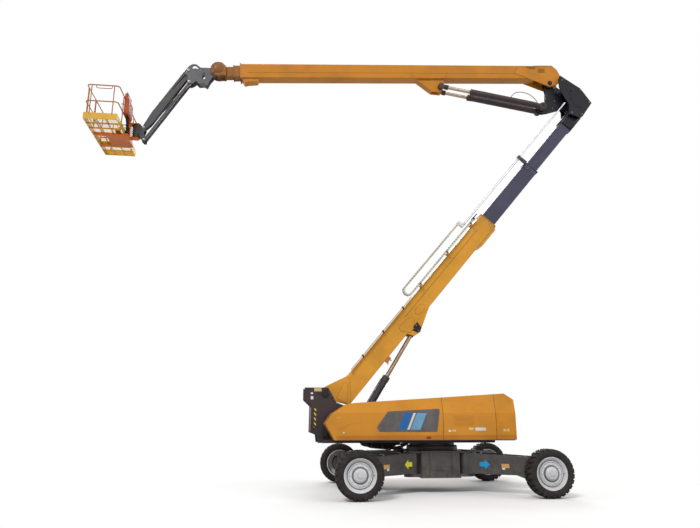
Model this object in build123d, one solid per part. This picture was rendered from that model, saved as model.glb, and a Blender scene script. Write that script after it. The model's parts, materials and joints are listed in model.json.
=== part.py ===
"""Articulating boom lift with a telescoping tower, a telescoping main boom and a parallelogram jib.

Units are millimetres. The origin is on the ground under the slew axis, +X points to the
counterweight end, the platform end is at -X, +Y is the machine's right side and +Z is up.
Outlines in the side view are lists of (x, z) or, on a boom, of (u, v): u runs along the boom
and v is square to it, upwards.
"""

import os
from math import atan2, cos, degrees, hypot, radians, sin

from build123d import *

# ---- driving dimensions -------------------------------------------------------------------

# Running gear
TYRE_RADIUS = 577.5
TYRE_WIDTH = 440.0
BEAD_RADIUS = 392.0
WHEEL_X = 2345.0
WHEEL_Y = 2300.0
KINGPIN_OFFSET = 395.0
KINGPIN_RADIUS = 88.0
ARM_PIVOT_X = 760.0
ARM_PIVOT_Y = 720.0
ARM_EYE_RADIUS = 195.0
ARM_ROOT_LOW = 480.0
ARM_ROOT_HIGH = 995.0
ARM_END_LOW = 375.0
ARM_END_HIGH = 905.0

# Chassis and slew ring
CHASSIS_HALF_X = 515.0
CHASSIS_HALF_Y = 930.0
CHASSIS_LOW = 400.0
CHASSIS_TOP = 1055.0
TIE_DOWN_X = 590.0
TIE_DOWN_Y = 350.0
TIE_DOWN_Z = 700.0
TIE_DOWN_HOLE = 30.0
TIE_DOWN_PLATE = 30.0
SLEW_RADIUS = 700.0
SLEW_TOP = 1165.0

# Turntable
DECK_LOW = 1250.0
DECK_TOP = 1340.0
DECK_HALF_Y = 600.0
DECK_REAR = 1630.0
HOOD_HALF_Y = 1250.0
HOOD_INNER_Y = 560.0
HOOD_FRONT = -3080.0
HOOD_SPLIT = 20.0
HOOD_REAR = 1450.0
COUNTERWEIGHT_REAR = 2000.0
HOOD_SHEET = 18.0
DOOR_GAP = 10.0
UPRIGHT_INNER_Y = 400.0
UPRIGHT_THICKNESS = 25.0

# Tower boom: the pivot, its direction at rest and its three box sections
TOWER_PIVOT = (-3020.0, 2535.0)
TOWER_ANGLE = 50.0
TOWER_CENTRE_V = -440.0
TOWER_PIN_RADIUS = 60.0
TOWER_LUG_U = 3100.0
TOWER_LUG_V = -805.0
# name: start u, end u, width, depth, wall
TOWER_SECTIONS = {
    "tower_base": (800.0, 7200.0, 460.0, 550.0, 12.0),
    "tower_mid": (2750.0, 9600.0, 380.0, 470.0, 10.0),
    "tower_fly": (4750.0, 11600.0, 300.0, 390.0, 8.0),
}

# Main boom: pivot on the knuckle, direction towards the counterweight end, three box sections
MAIN_PIVOT = (4348.0, 12653.0)
MAIN_ANGLE = 4.0
MAIN_CENTRE_V = 405.0
MAIN_PIN_RADIUS = 60.0
MAIN_REAR = 410.0
MAIN_LUG_U = -3716.0
MAIN_LUG_V = -124.0
MAIN_LUG_INNER_Y = 70.0
MAIN_LUG_THICKNESS = 40.0
MAIN_BOX_REAR = -450.0
MAIN_SECTIONS = {
    "main_boom_base": (-10090.0, MAIN_BOX_REAR, 350.0, 490.0, 12.0),
    "main_boom_mid": (-10297.0, -500.0, 290.0, 405.0, 10.0),
    "main_boom_fly": (-10520.0, -900.0, 235.0, 345.0, 8.0),
}

# Hydraulic cylinders: base pin, barrel length from the base pin, barrel and rod radius, rod length
TOWER_CYLINDER_BASE = (-2190.0, 1490.0)
TOWER_BARREL = (1800.0, 97.0)
TOWER_ROD = (2150.0, 60.0)
MAIN_CYLINDER_BASE = (4020.0, 11770.0)
MAIN_CYLINDER_Y = 172.0
MAIN_BARREL = (2430.0, 90.0)
MAIN_ROD = (2440.0, 55.0)
JIB_BARREL = (1250.0, 46.0)
JIB_ROD = (1560.0, 30.0)

COLLAR_RISE = 10.0

# Power track beside the tower boom
TRACK_Y = (-350.0, -240.0)
TRACK_LOW_V = -65.0
TRACK_HIGH_V = 195.0
TRACK_THICK = 80.0
TRACK_BEND_U = 3800.0
TRACK_ANCHOR_U = 6850.0
TRACK_END_U = 6420.0
TRACK_TUBE_V = 65.0
TRACK_TUBE_Y = -300.0
TRACK_TUBE_TOP_U = 12150.0
TRACK_TUBE_THICK = 38.0
TRACK_TUBE_THIN = 26.0

# Knuckle
TONGUE_INNER_Y = 30.0
TONGUE_THICKNESS = 38.0
CHEEK_INNER_Y = 275.0
CHEEK_THICKNESS = 30.0

# Boom head
HEAD_INNER_Y = 148.0
HEAD_THICKNESS = 32.0

# Jib and platform
LEVEL_PIVOT = (-6560.0, 12260.0)
JIB_BEAM_TOP = (-7300.0, 12270.0)
JIB_BEAM_LOW = (-8490.0, 10280.0)
JIB_LINK_LOW = (-8449.0, 9889.0)
JIB_PIN_RADIUS = 30.0
LINK_INNER_Y = 82.0
ROTATOR_X = -8700.0
PLATFORM_LENGTH = 2440.0
PLATFORM_WIDTH = 910.0
PLATFORM_INBOARD_X = -8970.0
FLOOR_LOW = 9920.0
RAIL_HEIGHT = 1055.0
TOE_HEIGHT = 190.0
RAIL_RADIUS = 17.0
GATE_WIDTH = 640.0
CONSOLE_LOW = 10465.0
CONSOLE_HIGH = 11095.0
CONSOLE_Y = (-610.0, -70.0)

# Clearances
PIN_GAP = 0.3
RUNNING_GAP = 5.0

OUT = "parts"


# ---- geometry helpers ---------------------------------------------------------------------


def along(origin, angle, u, v=0.0):
    """The (x, z) point that lies u along a direction in side view and v square to it."""
    a = radians(angle)
    return (origin[0] + u * cos(a) - v * sin(a), origin[1] + u * sin(a) + v * cos(a))


def direction(start, end):
    """Angle and length of the line between two side-view points."""
    run, rise = end[0] - start[0], end[1] - start[1]
    return degrees(atan2(rise, run)), hypot(run, rise)


def side_plane(y):
    """A sketch plane whose x is +X and whose y is +Z; its normal is -Y."""
    return Plane((0, y, 0), x_dir=(1, 0, 0), z_dir=(0, -1, 0))


def plate(outline, y_low, y_high, corner=0.0):
    """A plate with a side-view outline, between two y values, its corners rounded if asked."""
    face = make_face(Polyline(*outline, close=True))
    if corner:
        face = fillet(face.vertices(), corner)
    return extrude(side_plane(y_low) * face, amount=-(y_high - y_low))


def both_sides(shape):
    """The shape and its mirror image across the machine's centre plane."""
    return shape + mirror(shape, Plane.XZ)


def twin_plates(outline, inner, thickness, corner=0.0):
    """Two like plates, one on each side of the centre plane."""
    return both_sides(plate(outline, inner, inner + thickness, corner))


def cross_pin(centre, radius, y_low, y_high):
    """A round bar across the machine."""
    return Part() + Solid.make_cylinder(
        radius, y_high - y_low, Plane((centre[0], y_low, centre[1]), z_dir=(0, 1, 0))
    )


def bar(start, end, radius, y=0.0):
    """A round bar between two side-view points."""
    angle, length = direction(start, end)
    a = radians(angle)
    return Part() + Solid.make_cylinder(
        radius, length, Plane((start[0], y, start[1]), z_dir=(cos(a), 0, sin(a)))
    )


def rod3(start, end, radius):
    """A round bar between two points in space."""
    line = Vector(*end) - Vector(*start)
    return Part() + Solid.make_cylinder(radius, line.length, Plane(start, z_dir=line))


def block(x_low, x_high, y_low, y_high, z_low, z_high):
    """An upright box from its limits."""
    return Pos((x_low + x_high) / 2, (y_low + y_high) / 2, (z_low + z_high) / 2) * Box(
        x_high - x_low, y_high - y_low, z_high - z_low
    )


def boom_outline(origin, angle, outline):
    """An outline in boom coordinates, turned to side-view points."""
    return [along(origin, angle, u, v) for u, v in outline]


def boom_plane(origin, angle, u, v):
    """A sketch plane across a boom: its x is +Y, its y is the boom's v and its normal is u."""
    x, z = along(origin, angle, u, v)
    a = radians(angle)
    return Plane((x, 0, z), x_dir=(0, 1, 0), z_dir=(cos(a), 0, sin(a)))


def box_section(origin, angle, centre_v, start, end, width, depth, wall):
    """A boom section: a hollow box with rounded edges, open at both ends."""
    corner = 2.5 * wall
    across = RectangleRounded(width, depth, corner) - RectangleRounded(
        width - 2 * wall, depth - 2 * wall, corner - wall
    )
    return extrude(boom_plane(origin, angle, start, centre_v) * across, amount=end - start)


def solid_box(origin, angle, centre_v, start, end, width, depth):
    """A solid block along a boom."""
    across = Rectangle(width, depth)
    return extrude(boom_plane(origin, angle, start, centre_v) * across, amount=end - start)


def cylinder_barrel(base, eye, barrel, rod_radius, eye_radius, eye_width, pin_radius):
    """A cylinder's barrel: its tube, bored for the rod, its gland collar and its base eye."""
    length, radius = barrel
    angle, _ = direction(base, eye)
    head = along(base, angle, length)
    tube = bar(base, head, radius)
    collar = bar(along(base, angle, length - 130.0), head, radius + COLLAR_RISE)
    foot = cross_pin(base, eye_radius, -eye_width / 2, eye_width / 2)
    bore = bar(
        along(base, angle, eye_radius + 20.0),
        along(base, angle, length + 1.0),
        rod_radius + PIN_GAP,
    )
    clear = cross_pin(base, pin_radius + PIN_GAP, -eye_width, eye_width)
    trim = cross_pin(base, eye_radius, -2 * radius, 2 * radius) - foot
    return tube + collar - trim + foot - bore - clear


def cylinder_rod(base, eye, rod, eye_radius, eye_width, pin_radius):
    """A cylinder's rod with its eye, bored for the pin."""
    length, radius = rod
    angle, _ = direction(eye, base)
    shaft = bar(eye, along(eye, angle, length), radius)
    end = cross_pin(eye, eye_radius, -eye_width / 2, eye_width / 2)
    return shaft + end - cross_pin(eye, pin_radius + PIN_GAP, -eye_width, eye_width)


def save(name, shape):
    """Write one node."""
    export_step(shape, os.path.join(OUT, name + ".step"))


# ---- running gear -------------------------------------------------------------------------

CORNERS = {
    "front_left": (-1, -1),
    "front_right": (-1, 1),
    "rear_left": (1, -1),
    "rear_right": (1, 1),
}
KINGPIN_Y = WHEEL_Y - KINGPIN_OFFSET


def placed(shape, corner):
    """A shape modelled for the rear right corner, mirrored to another corner."""
    across, along_y = CORNERS[corner]
    if across < 0:
        shape = mirror(shape, Plane.YZ)
    if along_y < 0:
        shape = mirror(shape, Plane.XZ)
    return shape


def turned(profile):
    """A ring turned about the rear right wheel's axle from a (radius, outward) profile."""
    face = make_face(Polyline(*profile, close=True))
    return Pos(WHEEL_X, WHEEL_Y, TYRE_RADIUS) * revolve(face, Axis.Y)


def tyre():
    """A wide off-road tyre without its tread blocks."""
    half = TYRE_WIDTH / 2
    return turned(
        [
            (BEAD_RADIUS, -half + 40.0),
            (BEAD_RADIUS + 40.0, -half + 12.0),
            (TYRE_RADIUS - 95.0, -half),
            (TYRE_RADIUS - 40.0, -half + 12.0),
            (TYRE_RADIUS, -half + 60.0),
            (TYRE_RADIUS, half - 60.0),
            (TYRE_RADIUS - 40.0, half - 12.0),
            (TYRE_RADIUS - 95.0, half),
            (BEAD_RADIUS + 40.0, half - 12.0),
            (BEAD_RADIUS, half - 40.0),
        ]
    )


def wheel():
    """The rim and its dished disc, with the hub cover of the wheel drive."""
    half = TYRE_WIDTH / 2 - 40.0
    seat = BEAD_RADIUS - PIN_GAP
    return turned(
        [
            (seat, -half),
            (seat, half),
            (seat - 14.0, half),
            (seat - 40.0, half - 30.0),
            (300.0, half - 95.0),
            (265.0, half - 55.0),
            (190.0, half - 55.0),
            (160.0, half - 25.0),
            (120.0, half + 10.0),
            (0.0, half + 22.0),
            (0.0, half - 110.0),
            (255.0, half - 110.0),
            (330.0, half - 125.0),
            (seat - 26.0, half - 90.0),
            (seat - 26.0, -half),
        ]
    )


def steering_knuckle():
    """The kingpin barrel between the arm's ears and the drive housing that enters the rim."""
    barrel = Pos(WHEEL_X, KINGPIN_Y, (ARM_END_LOW + 70.0 + ARM_END_HIGH - 110.0) / 2) * Cylinder(
        KINGPIN_RADIUS, ARM_END_HIGH - 110.0 - ARM_END_LOW - 70.0 - 2 * PIN_GAP
    )
    disc_back = WHEEL_Y + TYRE_WIDTH / 2 - 40.0 - 110.0
    axle = (WHEEL_X, TYRE_RADIUS)
    neck = cross_pin(axle, 92.0, KINGPIN_Y, WHEEL_Y - 60.0)
    drive = cross_pin(axle, 190.0, WHEEL_Y - 120.0, disc_back - 60.0)
    flange = cross_pin(axle, 230.0, disc_back - 60.0, disc_back - PIN_GAP)
    web = block(WHEEL_X - 50.0, WHEEL_X + 50.0, KINGPIN_Y, WHEEL_Y - 120.0, 455.0, 700.0)
    return barrel + neck + drive + flange + web


def axle_arm():
    """A swinging box arm: its round root eye, its tapered body and the fork for the kingpin."""
    plan = make_face(
        Polyline(
            (ARM_PIVOT_X - 60.0, ARM_PIVOT_Y + ARM_EYE_RADIUS - 10.0),
            (1720.0, 1600.0),
            (2235.0, KINGPIN_Y - 10.0),
            (2235.0, KINGPIN_Y - 150.0),
            (WHEEL_X + 40.0, KINGPIN_Y - 150.0),
            (2300.0, 1560.0),
            (1900.0, 1210.0),
            (ARM_PIVOT_X + 70.0, ARM_PIVOT_Y - ARM_EYE_RADIUS + 10.0),
            close=True,
        )
    )
    height = ARM_ROOT_HIGH - ARM_END_LOW + 50.0
    body = extrude(Plane((0, 0, ARM_END_LOW - 20.0)) * plan, amount=height)
    ears = Pos(WHEEL_X, KINGPIN_Y, ARM_END_LOW + height / 2 - 20.0) * Cylinder(112.0, height)
    eye = Pos(
        ARM_PIVOT_X,
        ARM_PIVOT_Y,
        ARM_END_LOW + height / 2 - 20.0,
    ) * Cylinder(ARM_EYE_RADIUS, height)
    bridge = block(2235.0, WHEEL_X + 60.0, KINGPIN_Y - 155.0, KINGPIN_Y, ARM_END_LOW, ARM_END_HIGH)
    whole = body + ears + eye + bridge
    angle = degrees(atan2(KINGPIN_Y - ARM_PIVOT_Y, WHEEL_X - ARM_PIVOT_X))
    length = hypot(KINGPIN_Y - ARM_PIVOT_Y, WHEEL_X - ARM_PIVOT_X)
    # The side view along the arm: distance from the pivot, height
    side = make_face(
        Polyline(
            (-250.0, ARM_ROOT_LOW),
            (-250.0, ARM_ROOT_HIGH),
            (300.0, ARM_ROOT_HIGH),
            (length + 150.0, ARM_END_HIGH),
            (length + 150.0, ARM_END_LOW),
            (length - 330.0, ARM_END_LOW),
            (length - 620.0, ARM_ROOT_LOW),
            close=True,
        )
    )
    a = radians(angle)
    across = Plane(
        (ARM_PIVOT_X, ARM_PIVOT_Y, 0),
        x_dir=(cos(a), sin(a), 0),
        z_dir=(sin(a), -cos(a), 0),
    )
    shaped = whole & extrude(across * side, amount=1200.0, both=True)
    gap_low, gap_high = ARM_END_LOW + 70.0, ARM_END_HIGH - 110.0
    fork_gap = Pos(
        WHEEL_X,
        KINGPIN_Y,
        (gap_low + gap_high) / 2,
    ) * Cylinder(118.0, gap_high - gap_low)
    fork_gap += block(
        WHEEL_X - 118.0,
        WHEEL_X + 400.0,
        KINGPIN_Y,
        KINGPIN_Y + 400.0,
        gap_low,
        gap_high,
    )
    shaped -= fork_gap
    hollow = make_face(
        Polyline(
            (950.0, 1080.0),
            (1715.0, 1570.0),
            (2130.0, 1790.0),
            (2130.0, 1600.0),
            (1900.0, 1260.0),
            (1010.0, 800.0),
            close=True,
        )
    )
    shaped -= extrude(Plane((0, 0, ARM_END_LOW - 1.0)) * hollow, amount=450.0)
    pivot = Pos(
        ARM_PIVOT_X,
        ARM_PIVOT_Y,
        CHASSIS_TOP / 2,
    ) * Cylinder(70.0 + PIN_GAP, 2 * CHASSIS_TOP)
    return shaped - pivot


def chassis_frame():
    """The centre box with its bottom lip, the four pairs of arm lugs and their pivot pins."""
    box = block(
        -CHASSIS_HALF_X,
        CHASSIS_HALF_X,
        -CHASSIS_HALF_Y,
        CHASSIS_HALF_Y,
        CHASSIS_LOW,
        CHASSIS_TOP,
    )
    lip = block(-530.0, 530.0, -950.0, 950.0, 375.0, CHASSIS_LOW)
    frame = box + lip
    for low, high in ((-CHASSIS_HALF_Y + 25.0, -330.0), (-305.0, 305.0), (330.0, CHASSIS_HALF_Y - 25.0)):
        frame -= block(
            -CHASSIS_HALF_X + 25.0,
            CHASSIS_HALF_X - 25.0,
            low,
            high,
            370.0,
            CHASSIS_TOP - 30.0,
        )
    lug_levels = (
        (CHASSIS_LOW, ARM_ROOT_LOW - RUNNING_GAP),
        (ARM_ROOT_HIGH + RUNNING_GAP, CHASSIS_TOP - 10.0),
    )
    lug = Part()
    for low, high in lug_levels:
        middle = (low + high) / 2
        lug += Pos(ARM_PIVOT_X, ARM_PIVOT_Y, middle) * Cylinder(ARM_EYE_RADIUS - 10.0, high - low)
        lug += block(
            CHASSIS_HALF_X - 20.0, ARM_PIVOT_X, ARM_PIVOT_Y - 185.0, ARM_PIVOT_Y + 185.0, low, high
        )
    lug += Pos(ARM_PIVOT_X, ARM_PIVOT_Y, (CHASSIS_LOW + CHASSIS_TOP) / 2) * Cylinder(
        70.0, CHASSIS_TOP - CHASSIS_LOW
    )
    half_plate = TIE_DOWN_PLATE / 2
    eye = block(
        CHASSIS_HALF_X, TIE_DOWN_X + 50.0, TIE_DOWN_Y - 55.0, TIE_DOWN_Y + 55.0,
        TIE_DOWN_Z - half_plate, TIE_DOWN_Z + half_plate,
    )
    lug += eye - Pos(
        TIE_DOWN_X,
        TIE_DOWN_Y,
        TIE_DOWN_Z,
    ) * Cylinder(TIE_DOWN_HOLE, 2 * TIE_DOWN_PLATE)
    for corner in CORNERS:
        frame += placed(lug, corner)
    return frame


def slew_ring():
    """The bearing ring bolted to the chassis."""
    ring = Cylinder(SLEW_RADIUS, SLEW_TOP - CHASSIS_TOP) - Cylinder(450.0, 2 * SLEW_TOP)
    return Pos(0, 0, (SLEW_TOP + CHASSIS_TOP) / 2) * ring


# ---- turntable ----------------------------------------------------------------------------

UPRIGHT = [
    (-3577.0, 2700.0),
    (-2935.0, 2700.0),
    (-2714.0, 2307.0),
    (-2500.0, 2230.0),
    (-1700.0, 1900.0),
    (-900.0, 1750.0),
    (DECK_REAR, 1700.0),
    (DECK_REAR, DECK_LOW),
    (-3207.0, DECK_LOW),
    (-3234.0, 1450.0),
    (-3410.0, 1517.0),
    (-3400.0, 2220.0),
    (-3577.0, 2385.0),
]


def tower_foot_half():
    """How far the tower's foot plates reach from the centre plane."""
    return TOWER_SECTIONS["tower_base"][2] / 2 + 20.0


def turntable_frame():
    """Deck, the two long upright plates, their cross members, the tower pin and cylinder bosses."""
    neck = Pos(
        0,
        0,
        (SLEW_TOP + PIN_GAP + DECK_LOW) / 2,
    ) * Cylinder(620.0, DECK_LOW - SLEW_TOP - PIN_GAP)
    neck -= Pos(0, 0, DECK_LOW) * Cylinder(420.0, 2 * (DECK_LOW - SLEW_TOP))
    deck = block(-3100.0, DECK_REAR, -DECK_HALF_Y, DECK_HALF_Y, DECK_LOW, DECK_TOP)
    for x_low, x_high in ((-3080.0, -2500.0), (-1480.0, -640.0), (640.0, DECK_REAR - 20.0)):
        for y_low, y_high in ((-DECK_HALF_Y + 20.0, -10.0), (10.0, DECK_HALF_Y - 20.0)):
            deck -= block(x_low, x_high, y_low, y_high, DECK_LOW - 1.0, DECK_TOP - 20.0)
    well = block(-2485.0, -1300.0, -230.0, 230.0, DECK_LOW - 10.0, DECK_TOP + 10.0)
    bulkhead = twin_plates(hood_side(HOOD_FRONT, HOOD_REAR), HOOD_INNER_Y - PIN_GAP - 12.0, 12.0)
    floor = block(
        -2830.0,
        1960.0,
        -HOOD_HALF_Y + 10.0,
        HOOD_HALF_Y - 10.0,
        DECK_TOP - 18.0,
        DECK_TOP,
    )
    uprights = twin_plates(UPRIGHT, UPRIGHT_INNER_Y, UPRIGHT_THICKNESS)
    reach = UPRIGHT_INNER_Y + UPRIGHT_THICKNESS
    pin = cross_pin(TOWER_PIVOT, TOWER_PIN_RADIUS, -reach - 25.0, reach + 25.0)
    collar = both_sides(cross_pin(TOWER_PIVOT, 105.0, reach, reach + 30.0))
    hub = both_sides(
        cross_pin(TOWER_PIVOT, 120.0, tower_foot_half() + RUNNING_GAP, UPRIGHT_INNER_Y)
    )
    front_tie = block(-3390.0, -3240.0, -UPRIGHT_INNER_Y, UPRIGHT_INNER_Y, 1530.0, 2180.0)
    boss = both_sides(cross_pin(TOWER_CYLINDER_BASE, 90.0, 120.0, UPRIGHT_INNER_Y))
    return neck + deck + floor - well + bulkhead + uprights + pin + collar + hub + front_tie + boss


HOOD_LOW = DECK_TOP + PIN_GAP


def hood_roof(x):
    """Height of the hood's roof line at a given x."""
    return 2273.0 + (x + 2320.0) * (2540.0 - 2273.0) / (1760.0 + 2320.0)


def hood_side(x_front, x_rear, reach=0.0):
    """One stretch of the hood's side outline; reach carries its open edges further out."""
    low = HOOD_LOW - reach
    if x_front == HOOD_FRONT:
        foot = -2830.0 + reach * (-2830.0 - HOOD_FRONT) / (1754.0 - HOOD_LOW)
        front = [(foot, low), (HOOD_FRONT, 1754.0), (-2900.0, 2000.0), (-2537.0, 2231.0)]
        front.append((-2320.0, hood_roof(-2320.0)))
    else:
        front = [(x_front - reach, low), (x_front - reach, hood_roof(x_front - reach))]
    return front + [(x_rear + reach, hood_roof(x_rear + reach)), (x_rear + reach, low)]


def hood_section(reach=0.0):
    """The right hood's cross-section: upright to the waist, leaning inwards above it."""
    return [
        (HOOD_INNER_Y - reach, HOOD_LOW - reach),
        (HOOD_HALF_Y, HOOD_LOW - reach),
        (HOOD_HALF_Y, 2020.0),
        (HOOD_HALF_Y - 160.0, 2600.0),
        (HOOD_INNER_Y - reach, 2600.0),
    ]


def hood_body(x_front, x_rear, reach=0.0, inset=0.0):
    """The solid under a stretch of the hood: its side outline crossed with its section."""
    side = make_face(Polyline(*hood_side(x_front, x_rear, reach), close=True))
    section = make_face(Polyline(*hood_section(reach), close=True))
    if inset:
        side = offset(side, amount=-inset, kind=Kind.INTERSECTION)
        section = offset(section, amount=-inset, kind=Kind.INTERSECTION)
    across = Plane((HOOD_FRONT - 500.0, 0, 0), x_dir=(0, 1, 0), z_dir=(1, 0, 0))
    return extrude(
        side_plane(0.0) * side,
        amount=-1400.0,
    ) & extrude(across * section, amount=6000.0)


def hood_stretch(x_front, x_rear):
    """A stretch of the right hood: one sheet over the roof, the side and, in front, the nose."""
    return hood_body(x_front, x_rear) - hood_body(x_front, x_rear, 100.0, HOOD_SHEET)


def counterweight():
    """The cast counterweight across the rear, with a channel for the lowered tower."""
    outline = [
        (HOOD_REAR + DOOR_GAP, HOOD_LOW),
        (HOOD_REAR + DOOR_GAP, hood_roof(HOOD_REAR)),
        (1760.0, 2540.0),
        (COUNTERWEIGHT_REAR, 2376.0),
        (COUNTERWEIGHT_REAR, HOOD_LOW),
    ]
    side = both_sides(plate(outline, HOOD_INNER_Y, HOOD_HALF_Y))
    slant = Plane((HOOD_REAR - 100.0, 0, 0), x_dir=(0, 1, 0), z_dir=(1, 0, 0))
    wedge = make_face(
        Polyline((HOOD_HALF_Y, 2020.0), (HOOD_HALF_Y + 50.0, 2020.0), (HOOD_HALF_Y + 50.0, 2700.0),
                 (HOOD_HALF_Y - 187.0, 2700.0), close=True)
    )
    side -= both_sides(extrude(slant * wedge, amount=900.0))
    middle = block(
        DECK_REAR + 6.0,
        COUNTERWEIGHT_REAR,
        -HOOD_INNER_Y,
        HOOD_INNER_Y,
        HOOD_LOW,
        1740.0,
    )
    return side + middle


# ---- tower --------------------------------------------------------------------------------


def tower(outline):
    """Tower-boom coordinates turned to side-view points."""
    return boom_outline(TOWER_PIVOT, TOWER_ANGLE, outline)


def tower_box(name):
    """One hollow section of the tower."""
    start, end, width, depth, wall = TOWER_SECTIONS[name]
    return box_section(TOWER_PIVOT, TOWER_ANGLE, TOWER_CENTRE_V, start, end, width, depth, wall)


def wear_ring(origin, angle, centre_v, end, outer, inner):
    """The wear pads inside a section's mouth: they reach to the next section's sides."""
    across = Rectangle(outer[0], outer[1]) - Rectangle(
        inner[0] + 2 * PIN_GAP,
        inner[1] + 2 * PIN_GAP,
    )
    return extrude(boom_plane(origin, angle, end - 120.0, centre_v) * across, amount=115.0)


def tower_base():
    """Base section with its foot plates, the cylinder lug and the pads in its mouth."""
    start, end, width, depth, wall = TOWER_SECTIONS["tower_base"]
    half, low = width / 2, TOWER_CENTRE_V - depth / 2
    foot = tower(
        [
            (-110.0, 130.0),
            (60.0, 165.0),
            (300.0, 60.0),
            (start, TOWER_CENTRE_V + depth / 2),
            (start, low),
            (245.0, low),
            (75.0, -385.0),
            (-150.0, -80.0),
        ]
    )
    base = tower_box("tower_base")
    base += twin_plates(foot, tower_foot_half() - 50.0, 50.0)
    web = tower([(260.0, low), (start, low), (start, low + 20.0), (260.0, low + 20.0)])
    base += plate(web, -half + 30.0, half - 30.0)
    lug = tower(
        [
            (2820.0, low + 5.0),
            (2910.0, -912.0),
            (3110.0, -967.0),
            (3210.0, -930.0),
            (3860.0, low + 5.0),
        ]
    )
    base += twin_plates(lug, half - 45.0, 45.0)
    bump = tower([(6280.0, low), (6420.0, low - 80.0), (7080.0, low - 80.0), (7200.0, low)])
    base += plate(bump, -half + 20.0, half - 20.0)
    mid = TOWER_SECTIONS["tower_mid"]
    base += wear_ring(
        TOWER_PIVOT,
        TOWER_ANGLE,
        TOWER_CENTRE_V,
        end,
        (width - wall, depth - wall),
        mid[2:4],
    )
    eye = along(TOWER_PIVOT, TOWER_ANGLE, TOWER_LUG_U, TOWER_LUG_V)
    base += cross_pin(eye, 38.0, -half + 20.0, half - 20.0)
    high = TOWER_CENTRE_V + depth / 2
    under_track = TRACK_LOW_V - TRACK_THICK / 2 - PIN_GAP
    for u in (4150.0, 5450.0, 6650.0):
        bracket = tower(
            [(u, high - 5.0), (u + 60.0, high - 5.0), (u + 60.0, under_track), (u, under_track)]
        )
        base += plate(bracket, TRACK_Y[0] + 5.0, -half + 90.0)
    return base - cross_pin(TOWER_PIVOT, TOWER_PIN_RADIUS + PIN_GAP, -half - 100.0, half + 100.0)


def tower_mid():
    """Middle section with the pads for the fly."""
    start, end, width, depth, wall = TOWER_SECTIONS["tower_mid"]
    fly = TOWER_SECTIONS["tower_fly"]
    pads = wear_ring(
        TOWER_PIVOT,
        TOWER_ANGLE,
        TOWER_CENTRE_V,
        end,
        (width - wall, depth - wall),
        fly[2:4],
    )
    top = TOWER_CENTRE_V + depth / 2
    guide_top = TRACK_TUBE_V + 65.0
    outline = [
        (end - 140.0, top - 5.0),
        (end - 60.0, top - 5.0),
        (end - 60.0, guide_top),
        (end - 140.0, guide_top),
    ]
    guide = plate(tower(outline), TRACK_TUBE_Y - 65.0, TRACK_TUBE_Y + 27.0)
    foot = [
        (end - 140.0, top - 5.0),
        (end - 60.0, top - 5.0),
        (end - 60.0, top + 25.0),
        (end - 140.0, top + 25.0),
    ]
    guide += plate(tower(foot), TRACK_TUBE_Y - 65.0, -width / 2 + 40.0)
    guide -= bar(along(TOWER_PIVOT, TOWER_ANGLE, end - 200.0, TRACK_TUBE_V),
                 along(TOWER_PIVOT, TOWER_ANGLE, end, TRACK_TUBE_V), 45.0, TRACK_TUBE_Y)
    return tower_box("tower_mid") + pads + guide


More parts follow.
